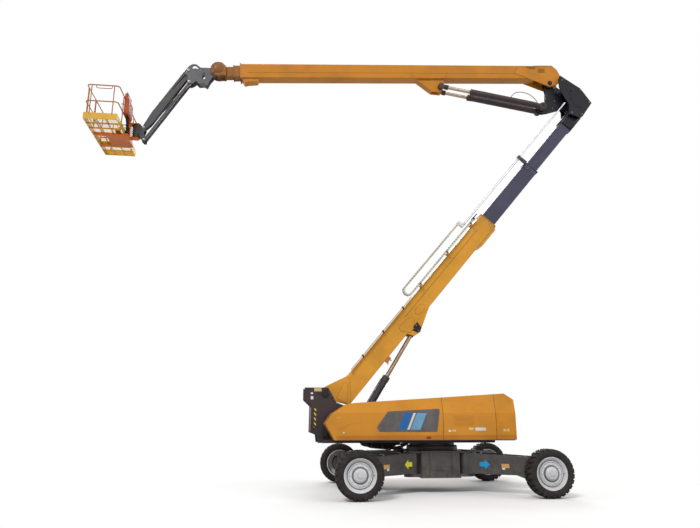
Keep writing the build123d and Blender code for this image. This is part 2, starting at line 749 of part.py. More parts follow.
def knuckle():
    """The welded head on the fly: socket, tongue plates with the boom pin, outer cheek plates."""
    fly_end = TOWER_SECTIONS["tower_fly"][1]
    socket = box_section(
        TOWER_PIVOT,
        TOWER_ANGLE,
        TOWER_CENTRE_V,
        fly_end,
        fly_end + 600.0,
        380.0,
        470.0,
        40.0,
    )
    px, pz = MAIN_PIVOT
    tongue = [
        (px - 105.0, pz + 115.0),
        (px, pz + 158.0),
        (px + 105.0, pz + 115.0),
        (px + 150.0, pz),
        (px + 200.0, pz - 290.0),
        (5060.0, 12350.0),
        (5250.0, 11900.0),
        (5130.0, 11560.0),
        (4960.0, 11560.0),
        (4900.0, 11760.0),
        (4720.0, 11800.0),
        (4600.0, 11760.0),
        (4250.0, 11640.0),
        (4070.0, 11600.0),
        (3930.0, 11640.0),
        (3870.0, 11760.0),
        (3920.0, 11870.0),
        (4130.0, 11950.0),
        (4215.0, 12100.0),
        (4245.0, 12340.0),
        (px - 150.0, pz),
    ]
    plates = twin_plates(tongue, TONGUE_INNER_Y, TONGUE_THICKNESS)
    cheek = [
        (4670.0, 12884.0),
        (5337.0, 12451.0),
        (5676.0, 11946.0),
        (5308.0, 11429.0),
        (5200.0, 11400.0),
        (4870.0, 11500.0),
        (4880.0, 11850.0),
        (4720.0, 12150.0),
        (4600.0, 12450.0),
        (4600.0, 12750.0),
    ]
    cheeks = twin_plates(cheek, CHEEK_INNER_Y, CHEEK_THICKNESS)
    roof = plate([(4990.0, 12660.0), (5337.0, 12435.0), (5660.0, 11946.0), (5640.0, 11930.0),
                  (5320.0, 12415.0), (4975.0, 12640.0)], -276.0, 276.0)
    floor = plate(
        [(5640.0, 11930.0), (5660.0, 11946.0), (5308.0, 11445.0), (5290.0, 11460.0)],
        -276.0,
        276.0,
    )
    outer = TONGUE_INNER_Y + TONGUE_THICKNESS
    tie = both_sides(
        plate(
            [(4900.0, 12200.0), (5200.0, 12250.0), (5350.0, 11900.0), (5100.0, 11650.0)],
            outer - 5.0,
            CHEEK_INNER_Y + 5.0,
        )
    )
    reach = MAIN_SECTIONS["main_boom_base"][2] / 2 + 8.0
    pin = cross_pin(MAIN_PIVOT, MAIN_PIN_RADIUS, -reach - 20.0, reach + 20.0)
    boss_end = MAIN_CYLINDER_Y - MAIN_BARREL[1] - RUNNING_GAP
    boss = both_sides(cross_pin(MAIN_CYLINDER_BASE, 85.0, TONGUE_INNER_Y - 2.0, boss_end))
    boss += cross_pin(MAIN_CYLINDER_BASE, 40.0, -TONGUE_INNER_Y, TONGUE_INNER_Y)
    cap = both_sides(cross_pin(MAIN_PIVOT, 75.0, reach + 8.0, reach + 20.0))
    clip_u = (TRACK_TUBE_TOP_U - 90.0, TRACK_TUBE_TOP_U - 20.0)
    clip = [
        (clip_u[0], TRACK_TUBE_V - 50.0),
        (clip_u[1], TRACK_TUBE_V - 50.0),
        (clip_u[1], TRACK_TUBE_V + 50.0),
        (clip_u[0], TRACK_TUBE_V + 50.0),
    ]
    tube_clip = plate(tower(clip), TRACK_TUBE_Y + TRACK_TUBE_THIN + PIN_GAP, -outer + 5.0)
    return socket + plates + cheeks + roof + floor + tie + pin + cap + boss + tube_clip


# ---- main boom ----------------------------------------------------------------------------


def main(outline):
    """Main-boom coordinates turned to side-view points."""
    return boom_outline(MAIN_PIVOT, MAIN_ANGLE, outline)


def main_box(name):
    """One hollow section of the main boom."""
    start, end, width, depth, wall = MAIN_SECTIONS[name]
    return box_section(MAIN_PIVOT, MAIN_ANGLE, MAIN_CENTRE_V, start, end, width, depth, wall)


def main_boom_base():
    """Base section, its open rear end round the knuckle's tongue, and the cylinder lug."""
    start, end, width, depth, wall = MAIN_SECTIONS["main_boom_base"]
    half, low, high = width / 2, MAIN_CENTRE_V - depth / 2, MAIN_CENTRE_V + depth / 2
    base = main_box("main_boom_base")
    back = [(MAIN_REAR - 240.0, high), (MAIN_REAR - 90.0, high - 150.0), (MAIN_REAR, high - 380.0)]
    cheek = main(
        [
            (end, low),
            (end, high),
            *back,
            (MAIN_REAR, 60.0),
            (240.0, -60.0),
            (0.0, -145.0),
            (-330.0, -20.0),
        ]
    )
    base += twin_plates(cheek, half - wall, wall)
    inner = [(u - 0.7 * wall, v - 0.9 * wall) for u, v in back]
    roof = main([(end, high - wall), (end, high), *back, *reversed(inner)])
    base += plate(roof, -half + 1.0, half - 1.0)
    doubler = main(
        [
            (-1180.0, 360.0),
            (-1040.0, high - 40.0),
            (MAIN_REAR - 265.0, high - 30.0),
            (MAIN_REAR - 115.0, high - 165.0),
            (MAIN_REAR - 22.0, high - 385.0),
            (MAIN_REAR - 22.0, 65.0),
            (230.0, -45.0),
            (0.0, -128.0),
            (-325.0, -5.0),
        ]
    )
    base += twin_plates(doubler, half - 1.0, 9.0)
    tongue_outer = TONGUE_INNER_Y + TONGUE_THICKNESS
    base += both_sides(cross_pin(MAIN_PIVOT, 95.0, tongue_outer + RUNNING_GAP, half - 2.0))
    eye_u, eye_v = MAIN_LUG_U, MAIN_LUG_V
    lug = main(
        [
            (eye_u - 790.0, low + 5.0),
            (eye_u - 300.0, eye_v - 140.0),
            (eye_u - 60.0, eye_v - 165.0),
            (eye_u + 60.0, eye_v - 90.0),
            (eye_u + 95.0, eye_v + 30.0),
            (eye_u + 150.0, low + 5.0),
        ]
    )
    base += twin_plates(lug, MAIN_LUG_INNER_Y, MAIN_LUG_THICKNESS)
    base += plate(
        main(
            [
                (eye_u - 790.0, low + 5.0),
                (eye_u - 300.0, eye_v - 140.0),
                (eye_u - 280.0, eye_v - 120.0),
                (eye_u - 755.0, low + 5.0),
            ]
        ),
        -half + 60.0,
        half - 60.0,
    )
    housing = main(
        [
            (-10040.0, low + 5.0),
            (-9960.0, low - 140.0),
            (-9840.0, low - 110.0),
            (-9560.0, low - 90.0),
            (-9500.0, low + 5.0),
        ]
    )
    base += plate(housing, -half + 40.0, half - 40.0)
    eye = along(MAIN_PIVOT, MAIN_ANGLE, MAIN_LUG_U, MAIN_LUG_V)
    base += cross_pin(eye, 45.0, -MAIN_CYLINDER_Y - 75.0, MAIN_CYLINDER_Y + 75.0)
    base += both_sides(cross_pin(eye, 62.0, MAIN_CYLINDER_Y + 65.0, MAIN_CYLINDER_Y + 75.0))
    mid = MAIN_SECTIONS["main_boom_mid"]
    base += wear_ring(
        MAIN_PIVOT,
        MAIN_ANGLE,
        MAIN_CENTRE_V,
        start + 125.0,
        (width - wall, depth - wall),
        mid[2:4],
    )
    return base - cross_pin(MAIN_PIVOT, MAIN_PIN_RADIUS + PIN_GAP, -half - 50.0, half + 50.0)


def main_boom_mid():
    """Middle section with the pads for the fly."""
    start, end, width, depth, wall = MAIN_SECTIONS["main_boom_mid"]
    fly = MAIN_SECTIONS["main_boom_fly"]
    pads = wear_ring(
        MAIN_PIVOT,
        MAIN_ANGLE,
        MAIN_CENTRE_V,
        start + 125.0,
        (width - wall, depth - wall),
        fly[2:4],
    )
    return main_box("main_boom_mid") + pads


def boom_head():
    """The cast nose on the fly: two cheeks with a round crown, and the pin of the level bracket."""
    tip = MAIN_SECTIONS["main_boom_fly"][0]
    centre, half_depth = MAIN_CENTRE_V, MAIN_SECTIONS["main_boom_fly"][3] / 2
    crown = along(MAIN_PIVOT, MAIN_ANGLE, tip - 230.0, centre + 63.0)
    outer = HEAD_INNER_Y + HEAD_THICKNESS
    neck = solid_box(MAIN_PIVOT, MAIN_ANGLE, centre, tip - 30.0, tip, 255.0, 2 * half_depth + 20.0)
    flange = main(
        [
            (tip - 30.0, centre - half_depth),
            (tip, centre - half_depth),
            (tip, centre + half_depth),
            (tip - 30.0, centre + half_depth),
        ]
    )
    nose = plate(
        [
            along(MAIN_PIVOT, MAIN_ANGLE, tip - 5.0, centre - half_depth + 5.0),
            along(MAIN_PIVOT, MAIN_ANGLE, tip - 5.0, centre + half_depth - 5.0),
            (crown[0], crown[1] + 180.0),
            (LEVEL_PIVOT[0] - 80.0, LEVEL_PIVOT[1] + 30.0),
            (LEVEL_PIVOT[0] - 80.0, LEVEL_PIVOT[1] - 50.0),
            (LEVEL_PIVOT[0] + 10.0, LEVEL_PIVOT[1] - 95.0),
        ],
        HEAD_INNER_Y,
        outer,
    )
    body = both_sides(cross_pin(crown, 235.0, HEAD_INNER_Y, outer) + nose)
    bridge = cross_pin(
        along(crown, 0.0, 110.0, 130.0),
        60.0,
        -HEAD_INNER_Y - 2.0,
        HEAD_INNER_Y + 2.0,
    )
    pin = cross_pin(LEVEL_PIVOT, 40.0, -outer - 5.0, outer + 5.0)
    clip = solid_box(MAIN_PIVOT, MAIN_ANGLE, MAIN_CENTRE_V, tip, tip + 600.0, 600.0, 900.0)
    return neck + plate(flange, -outer + 5.0, outer - 5.0) + body + bridge + pin - clip


# ---- jib and platform ---------------------------------------------------------------------

JIB_ANGLE, JIB_LENGTH = direction(JIB_BEAM_TOP, JIB_BEAM_LOW)
JIB_LINK_TOP = (
    JIB_LINK_LOW[0] + JIB_BEAM_TOP[0] - JIB_BEAM_LOW[0],
    JIB_LINK_LOW[1] + JIB_BEAM_TOP[1] - JIB_BEAM_LOW[1],
)


def level_bracket():
    """The bracket that keeps the platform level: it hangs on the boom head and carries the jib."""
    px, pz = LEVEL_PIVOT
    outline = [
        (px + 40.0, pz + 80.0),
        (px - 80.0, 12400.0),
        (-6950.0, 12390.0),
        (-6995.0, 12425.0),
        (-7060.0, 12480.0),
        (-7130.0, 12500.0),
        (-7215.0, 12485.0),
        (-7300.0, 12420.0),
        (-7420.0, 12230.0),
        (-7420.0, 12160.0),
        (-7320.0, 12060.0),
        (-7335.0, 11900.0),
        (-7310.0, 11830.0),
        (-7220.0, 11810.0),
        (-7130.0, 11860.0),
        (-7060.0, 11925.0),
        (-6975.0, 11835.0),
        (-6820.0, 11860.0),
        (-6725.0, 11800.0),
        (px - 80.0, 12000.0),
        (px + 40.0, pz - 80.0),
    ]
    plates = twin_plates(outline, 105.0, 30.0) + both_sides(
        cross_pin(LEVEL_PIVOT, 90.0, 105.0, 135.0)
    )
    slot = cross_pin(
        (-6835.0, 12190.0),
        38.0,
        -200.0,
        200.0,
    ) + cross_pin((-6842.0, 12050.0), 50.0, -200.0, 200.0)
    window = [
        (-7190.0, 12330.0),
        (-7195.0, 12400.0),
        (-7150.0, 12440.0),
        (-7090.0, 12435.0),
        (-7025.0, 12380.0),
        (-7015.0, 12330.0),
    ]
    slot += plate(window, -200.0, 200.0)
    slot += plate(
        [(-6873.0, 12190.0), (-6797.0, 12190.0), (-6797.0, 12050.0), (-6885.0, 12050.0)],
        -200.0,
        200.0,
    )
    ties = block(-6960.0, -6920.0, -106.0, 106.0, 12230.0, 12330.0)
    ties += block(-6960.0, -6740.0, -106.0, 106.0, 11865.0, 11925.0)
    pins = cross_pin(JIB_BEAM_TOP, JIB_PIN_RADIUS, -140.0, 140.0)
    pins += both_sides(cross_pin(JIB_LINK_TOP, JIB_PIN_RADIUS, LINK_INNER_Y - 1.0, 140.0))
    hub = cross_pin(LEVEL_PIVOT, 75.0, -106.0, 106.0)
    pads = both_sides(cross_pin(LEVEL_PIVOT, 75.0, 134.0, 147.7))
    bore = cross_pin(LEVEL_PIVOT, 40.0 + PIN_GAP, -200.0, 200.0)
    return plates + ties + pins + hub + pads - slot - bore


def jib(outline):
    """Jib coordinates, u down the jib from its top pin, turned to side-view points."""
    return boom_outline(JIB_BEAM_TOP, JIB_ANGLE, outline)


def jib_beam():
    """The upper beam: a channel with two side plates and a roof, open below for the cylinder."""
    # v is negative on the upper side, because u runs downwards
    side = jib(
        [
            (-75.0, -60.0),
            (0.0, -110.0),
            (1850.0, -110.0),
            (2200.0, -75.0),
            (JIB_LENGTH + 45.0, -45.0),
            (JIB_LENGTH + 45.0, 45.0),
            (2100.0, 105.0),
            (60.0, 110.0),
            (-75.0, 40.0),
        ]
    )
    beam = twin_plates(side, 62.0, 14.0)
    beam += plate(
        jib([(0.0, -110.0), (1850.0, -110.0), (1850.0, -98.0), (0.0, -98.0)]),
        -62.5,
        62.5,
    )
    beam += plate(
        jib([(1850.0, -110.0), (2200.0, -75.0), (2200.0, -63.0), (1850.0, -98.0)]),
        -62.5,
        62.5,
    )
    return beam - cross_pin(JIB_BEAM_TOP, JIB_PIN_RADIUS + PIN_GAP, -100.0, 100.0) - cross_pin(
        JIB_BEAM_LOW, JIB_PIN_RADIUS + PIN_GAP, -100.0, 100.0
    )


def jib_link():
    """The two lower bars of the parallelogram, outside the beam."""
    side = boom_outline(
        JIB_LINK_TOP,
        JIB_ANGLE,
        [(-45.0, -35.0), (-45.0, 35.0), (JIB_LENGTH + 45.0, 35.0), (JIB_LENGTH + 45.0, -35.0)],
    )
    bars = twin_plates(side, LINK_INNER_Y, 18.0)
    bars -= cross_pin(JIB_LINK_TOP, JIB_PIN_RADIUS + PIN_GAP, -150.0, 150.0)
    return bars - cross_pin(JIB_LINK_LOW, JIB_PIN_RADIUS + PIN_GAP, -150.0, 150.0)


def platform_bracket():
    """The lower bracket of the parallelogram, welded to the rotator's housing."""
    outline = [
        (JIB_BEAM_LOW[0] + 50.0, JIB_BEAM_LOW[1] + 45.0),
        (-8560.0, 10330.0),
        (-8600.0, 10250.0),
        (-8600.0, 10050.0),
        (-8540.0, 9900.0),
        (-8470.0, 9830.0),
        (-8400.0, 9850.0),
        (-8400.0, 9950.0),
        (-8480.0, 10100.0),
        (-8440.0, 10220.0),
    ]
    plates = twin_plates(outline, 105.0, 20.0)
    housing = Pos(ROTATOR_X, 0, 10180.0) * Cylinder(115.0, 380.0)
    arm = both_sides(block(-8690.0, -8560.0, 90.0, 125.0, 10060.0, 10320.0))
    pins = cross_pin(JIB_BEAM_LOW, JIB_PIN_RADIUS, -125.0, 125.0)
    pins += both_sides(cross_pin(JIB_LINK_LOW, JIB_PIN_RADIUS, LINK_INNER_Y - 1.0, 125.0))
    return plates + housing + arm + pins


PLATFORM_OUTBOARD_X = PLATFORM_INBOARD_X - PLATFORM_WIDTH
HALF_LENGTH = PLATFORM_LENGTH / 2


def platform_support():
    """The support turned by the rotator: its column, the back plate and the beams under the floor."""
    top = Pos(ROTATOR_X, 0, 10397.15) * Cylinder(100.0, 53.7)
    bottom = Pos(ROTATOR_X, 0, 9964.35) * Cylinder(100.0, 50.7)
    column = block(-8930.0, -8850.0, -150.0, 150.0, 9900.0, CONSOLE_LOW - 25.0)
    arms = block(-8860.0, ROTATOR_X, -80.0, 80.0, 10376.0, 10424.0)
    arms += block(-8860.0, ROTATOR_X, -80.0, 80.0, 9939.0, 9985.0)
    beams = both_sides(block(-9800.0, -8850.0, 300.0, 380.0, 9850.0, FLOOR_LOW))
    spread = block(-8950.0, -8850.0, -400.0, 400.0, 9850.0, FLOOR_LOW)
    spread += block(-9460.0, -8900.0, -400.0, 400.0, 9850.0, 9862.0)
    spread += block(-9460.0, -9420.0, -400.0, 400.0, 9850.0, FLOOR_LOW)
    return top + bottom + column + arms + beams + spread


def floor_frame():
    """The basket's floor: rim, cross bars, grating bars and toe boards."""
    x0, x1 = PLATFORM_OUTBOARD_X, PLATFORM_INBOARD_X
    tray = block(x0, x1, -HALF_LENGTH, HALF_LENGTH, FLOOR_LOW, FLOOR_LOW + TOE_HEIGHT)
    tray -= block(x0 + 10.0, x1 - 10.0, -HALF_LENGTH + 10.0, HALF_LENGTH - 10.0, FLOOR_LOW - 1.0,
                  FLOOR_LOW + TOE_HEIGHT + 1.0)
    for share in range(1, 8):
        y = -HALF_LENGTH + share * PLATFORM_LENGTH / 8
        tray += block(x0, x1, y - 12.0, y + 12.0, FLOOR_LOW, FLOOR_LOW + 40.0)
    for share in range(1, 3):
        x = x0 + share * PLATFORM_WIDTH / 3
        tray += block(x - 12.0, x + 12.0, -HALF_LENGTH, HALF_LENGTH, FLOOR_LOW, FLOOR_LOW + 40.0)
    return tray


GATE_Y = (-HALF_LENGTH + 250.0, -HALF_LENGTH + 250.0 + GATE_WIDTH)


def bent_tube(points, radius, bend):
    """A tube along straight runs joined by bends."""
    path = FilletPolyline(*points, radius=bend)
    start = Plane(origin=path @ 0, z_dir=path % 0)
    return sweep(start * Circle(radius), path=path)


def basket_rails():
    """Top and middle rails with their posts; the outboard side is open at the gate."""
    x0, x1 = PLATFORM_OUTBOARD_X + 20.0, PLATFORM_INBOARD_X - 20.0
    y0, y1 = -HALF_LENGTH + 20.0, HALF_LENGTH - 20.0
    top, low = FLOOR_LOW + RAIL_HEIGHT, FLOOR_LOW + TOE_HEIGHT
    rails = Part()
    for z in (top, FLOOR_LOW + 560.0):
        path = [(x0, GATE_Y[0] - 50.0, z), (x0, y0, z), (x1, y0, z), (x1, y1, z), (x0, y1, z),
                (x0, GATE_Y[1] + 50.0, z)]
        rails += bent_tube(path, RAIL_RADIUS, 90.0)
    posts = [
        (x0, GATE_Y[0] - 50.0),
        (x0 + 130.0, y0),
        (x1 - 130.0, y0),
        (x1, -650.0),
        (x1, 0.0),
        (x1, 650.0),
        (x1 - 130.0, y1),
        (x0 + 130.0, y1),
        (x0, 500.0),
        (x0, GATE_Y[1] + 50.0),
    ]
    for x, y in posts:
        rails += rod3((x, y, low), (x, y, top), RAIL_RADIUS - 2.0)
    for y in (y0, y1):
        hanger = [
            (x0 + 250.0, y, top),
            (x0 + 250.0, y, top - 95.0),
            (x1 - 190.0, y, top - 95.0),
            (x1 - 190.0, y, top),
        ]
        rails += bent_tube(hanger, RAIL_RADIUS - 6.0, 45.0)
    return rails


def basket_gate():
    """The swinging entry gate in the outboard rail."""
    x = PLATFORM_OUTBOARD_X + 20.0
    top, low = FLOOR_LOW + RAIL_HEIGHT, FLOOR_LOW + TOE_HEIGHT + 60.0
    gate = Part()
    for z in (top, FLOOR_LOW + 560.0, low):
        gate += rod3((x, GATE_Y[0], z), (x, GATE_Y[1], z), RAIL_RADIUS - 4.0)
    for y in GATE_Y:
        gate += rod3((x, y, low - 20.0), (x, y, top + 20.0), RAIL_RADIUS - 2.0)
    for z in (low + 60.0, top - 80.0):
        gate += rod3((x, GATE_Y[1], z), (x, GATE_Y[1] + 50.0 - RAIL_RADIUS + 2.0 - PIN_GAP, z), 9.0)
    return gate


def control_console():
    """The platform control box on the inboard rail."""
    x = PLATFORM_INBOARD_X - 20.0 + RAIL_RADIUS + PIN_GAP
    outline = [
        (x, CONSOLE_LOW),
        (x + 100.0, CONSOLE_LOW),
        (x + 125.0, CONSOLE_LOW + 60.0),
        (x + 125.0, CONSOLE_HIGH - 190.0),
        (x + 70.0, CONSOLE_HIGH),
        (x, CONSOLE_HIGH),
    ]
    return plate(outline, *CONSOLE_Y, corner=15.0)


# ---- power track --------------------------------------------------------------------------

def track_run(start, end, v):
    """A straight run of the chain."""
    half = TRACK_THICK / 2
    return plate(
        tower([(start, v - half), (end, v - half), (end, v + half), (start, v + half)]),
        *TRACK_Y,
    )


def track_bend():
    """The half-turn of the chain."""
    centre = along(TOWER_PIVOT, TOWER_ANGLE, TRACK_BEND_U, (TRACK_LOW_V + TRACK_HIGH_V) / 2)
    outer = (TRACK_HIGH_V - TRACK_LOW_V + TRACK_THICK) / 2
    ring = cross_pin(centre, outer, *TRACK_Y) - cross_pin(centre, outer - TRACK_THICK, *TRACK_Y)
    half_space = plate(
        tower(
            [
                (TRACK_BEND_U, -1000.0),
                (TRACK_BEND_U, 1000.0),
                (TRACK_BEND_U + 1000.0, 1000.0),
                (TRACK_BEND_U + 1000.0, -1000.0),
            ]
        ),
        -500.0,
        500.0,
    )
    return ring - half_space


def track_push_tube():
    """The tube that the knuckle pushes the chain's moving end with, its end plate and collar."""
    low = along(TOWER_PIVOT, TOWER_ANGLE, TRACK_END_U + 60.0, TRACK_TUBE_V)
    collar = along(TOWER_PIVOT, TOWER_ANGLE, 9440.0, TRACK_TUBE_V)
    high = along(TOWER_PIVOT, TOWER_ANGLE, TRACK_TUBE_TOP_U, TRACK_TUBE_V)
    y = TRACK_TUBE_Y
    tube = bar(low, collar, TRACK_TUBE_THICK, y) + bar(collar, high, TRACK_TUBE_THIN, y)
    low_v, high_v = TRACK_TUBE_V - 50.0, TRACK_HIGH_V + 50.0
    end = plate(
        tower(
            [
                (TRACK_END_U, low_v),
                (TRACK_END_U + 90.0, low_v),
                (TRACK_END_U + 90.0, high_v),
                (TRACK_END_U, high_v),
            ]
        ),
        *TRACK_Y,
    )
    return tube + end


# ---- assembly -----------------------------------------------------------------------------


def write_running_gear():
    """Chassis, slew ring, arms, steering and wheels."""
    save("chassis_frame", chassis_frame())
    save("slew_ring", slew_ring())
    pieces = {
        "axle_arm": axle_arm(),
        "steering_knuckle": steering_knuckle(),
        "tyre": tyre(),
        "wheel": wheel(),
    }
    for name, shape in pieces.items():
        for corner in CORNERS:
            save(f"{name}_{corner}", placed(shape, corner))


def write_turntable():
    """Frame, counterweight, hoods and what stands under them."""
    save("turntable_frame", turntable_frame())
    save("counterweight", counterweight())
    stretches = {
        "front_hood": (HOOD_FRONT, HOOD_SPLIT - DOOR_GAP / 2),
        "rear_hood": (HOOD_SPLIT + DOOR_GAP / 2, HOOD_REAR),
    }
    for name, (front, rear) in stretches.items():
        right = hood_stretch(front, rear)
        save(f"{name}_right", right)
        save(f"{name}_left", mirror(right, Plane.XZ))
    save("engine_block", block(-1400.0, -400.0, 640.0, 1120.0, DECK_TOP, 1990.0))
    save("tank_block", block(-1400.0, -400.0, -1120.0, -640.0, DECK_TOP, 1900.0))


def write_tower():
    """The three tower sections, their cylinder and the power track."""
    save("tower_base", tower_base())
    save("tower_mid", tower_mid())
    save("tower_fly", tower_box("tower_fly"))
    save("knuckle", knuckle())
    eye = along(TOWER_PIVOT, TOWER_ANGLE, TOWER_LUG_U, TOWER_LUG_V)
    save(
        "tower_cylinder_barrel",
        cylinder_barrel(TOWER_CYLINDER_BASE, eye, TOWER_BARREL, TOWER_ROD[1], 110.0, 200.0, 45.0),
    )
    save("tower_cylinder_rod", cylinder_rod(TOWER_CYLINDER_BASE, eye, TOWER_ROD, 85.0, 150.0, 38.0))
    save("track_lower_run", track_run(TRACK_BEND_U, TRACK_ANCHOR_U, TRACK_LOW_V))
    save("track_bend", track_bend())
    save("track_upper_run", track_run(TRACK_BEND_U, TRACK_END_U, TRACK_HIGH_V))
    save("track_push_tube", track_push_tube())


def write_main_boom():
    """The three main boom sections, the head and the two lift cylinders."""
    save("main_boom_base", main_boom_base())
    save("main_boom_mid", main_boom_mid())
    save("main_boom_fly", main_box("main_boom_fly"))
    save("boom_head", boom_head())
    eye = along(MAIN_PIVOT, MAIN_ANGLE, MAIN_LUG_U, MAIN_LUG_V)
    width = 2 * MAIN_BARREL[1]
    barrel = cylinder_barrel(MAIN_CYLINDER_BASE, eye, MAIN_BARREL, MAIN_ROD[1], 115.0, width, 50.0)
    rod = cylinder_rod(MAIN_CYLINDER_BASE, eye, MAIN_ROD, 100.0, 2 * MAIN_ROD[1] + 6.0, 45.0)
    for side, sign in (("left", -1), ("right", 1)):
        save(f"main_cylinder_barrel_{side}", Pos(0, sign * MAIN_CYLINDER_Y, 0) * barrel)
        save(f"main_cylinder_rod_{side}", Pos(0, sign * MAIN_CYLINDER_Y, 0) * rod)


def write_jib_and_platform():
    """Level bracket, jib, cylinder, brackets and platform."""
    save("level_bracket", level_bracket())
    save("jib_beam", jib_beam())
    save("jib_link", jib_link())
    save(
        "jib_cylinder_barrel",
        cylinder_barrel(
            JIB_BEAM_LOW,
            JIB_LINK_TOP,
            JIB_BARREL,
            JIB_ROD[1],
            48.0,
            100.0,
            JIB_PIN_RADIUS,
        ),
    )
    save(
        "jib_cylinder_rod",
        cylinder_rod(JIB_BEAM_LOW, JIB_LINK_TOP, JIB_ROD, 45.0, 90.0, JIB_PIN_RADIUS),
    )
    save("platform_bracket", platform_bracket())
    save("platform_support", platform_support())
    save("basket_floor", floor_frame())
    save("basket_rails", basket_rails())
    save("basket_gate", basket_gate())
    save("control_console", control_console())


os.makedirs(OUT, exist_ok=True)
write_running_gear()
write_turntable()
write_tower()
write_main_boom()
write_jib_and_platform()
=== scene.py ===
"""Articulating boom lift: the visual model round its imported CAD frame."""
import json
import logging
import math
from dataclasses import dataclass, field
from enum import Enum
from typing import Callable, Iterable, Sequence

import bmesh
import bpy
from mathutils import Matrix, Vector


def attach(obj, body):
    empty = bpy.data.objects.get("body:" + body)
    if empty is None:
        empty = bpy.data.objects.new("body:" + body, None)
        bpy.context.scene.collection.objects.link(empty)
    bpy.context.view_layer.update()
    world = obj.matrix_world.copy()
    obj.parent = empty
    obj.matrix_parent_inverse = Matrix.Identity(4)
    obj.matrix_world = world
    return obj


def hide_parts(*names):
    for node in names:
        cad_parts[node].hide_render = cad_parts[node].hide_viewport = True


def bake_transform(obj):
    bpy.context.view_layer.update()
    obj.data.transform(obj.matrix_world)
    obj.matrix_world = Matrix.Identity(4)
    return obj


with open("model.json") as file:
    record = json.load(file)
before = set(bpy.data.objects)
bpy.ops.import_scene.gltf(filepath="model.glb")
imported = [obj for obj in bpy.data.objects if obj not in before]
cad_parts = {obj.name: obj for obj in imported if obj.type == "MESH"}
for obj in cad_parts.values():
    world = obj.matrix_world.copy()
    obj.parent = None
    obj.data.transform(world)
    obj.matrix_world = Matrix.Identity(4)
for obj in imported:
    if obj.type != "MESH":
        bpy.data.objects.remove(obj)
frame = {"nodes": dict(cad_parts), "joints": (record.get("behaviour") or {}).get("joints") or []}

LOG = logging.getLogger("boom_lift")
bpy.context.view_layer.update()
Number = float | int
Point2 = tuple[float, float]
Colour = tuple[float, float, float]
MADE: dict[str, bpy.types.Material] = {}
UP = (0, 0, 1)
ACROSS = (0, 1, 0)
TOUCH = 1e-9
SHARP_DEGREES = 32.0
SMOOTH_SEGMENTS = 2


def linear(colour: Colour) -> tuple[float, float, float, float]:
    """Turn a display colour into the linear colour that shaders take."""
    out = [c / 12.92 if c <= 0.04045 else ((c + 0.055) / 1.055) ** 2.4 for c in colour]
    return (out[0], out[1], out[2], 1.0)


class Link:
    """One output of a shader node, with Python arithmetic."""

    def __init__(self, recipe: "Recipe", socket: bpy.types.NodeSocket) -> None:
        """Keep the material being made and the socket."""
        self.recipe = recipe
        self.socket = socket

    def _math(self, operation: str, *values: "Link | Number") -> "Link":
        """Add a Math node and return its value.

        Args:
            operation: what the node does.
            values: its inputs in order.

        Returns:
            The node's value.
        """
        made = self.recipe.node("ShaderNodeMath", {"operation": operation}, dict(enumerate(values)))
        return made["Value"]

    def __add__(self, other: "Link | Number") -> "Link":
        """Sum."""
        return self._math("ADD", self, other)

    __radd__ = __add__

    def __sub__(self, other: "Link | Number") -> "Link":
        """Difference."""
        return self._math("SUBTRACT", self, other)

    def __rsub__(self, other: Number) -> "Link":
        """Difference from a number."""
        return self._math("SUBTRACT", other, self)

    def __mul__(self, other: "Link | Number") -> "Link":
        """Product."""
        return self._math("MULTIPLY", self, other)

    __rmul__ = __mul__

    def __truediv__(self, other: "Link | Number") -> "Link":
        """Quotient."""
        return self._math("DIVIDE", self, other)

    def __gt__(self, other: "Link | Number") -> "Link":
        """One where this is the larger."""
        return self._math("GREATER_THAN", self, other)

    def fraction(self) -> "Link":
        """The part after the decimal point."""
        return self._math("FRACT", self)

    def ramp(self, low: float, high: float) -> "Link":
        """Rise smoothly from 0 at low to 1 at high.

        Args:
            low: where the rise starts.
            high: where it ends.

        Returns:
            A value from 0 to 1.
        """
        made = self.recipe.node(
            "ShaderNodeMapRange", {"interpolation_type": "SMOOTHSTEP"},
            {"Value": self, "From Min": low, "From Max": high},
        )
        return made["Result"]


class Outputs:
    """The outputs of one node, by name."""

    def __init__(self, recipe: "Recipe", node: bpy.types.Node) -> None:
        """Keep the material being made and the node."""
        self.recipe = recipe
        self.raw = node

    def __getitem__(self, name: str | int) -> Link:
        """One output."""
        return Link(self.recipe, self.raw.outputs[name])


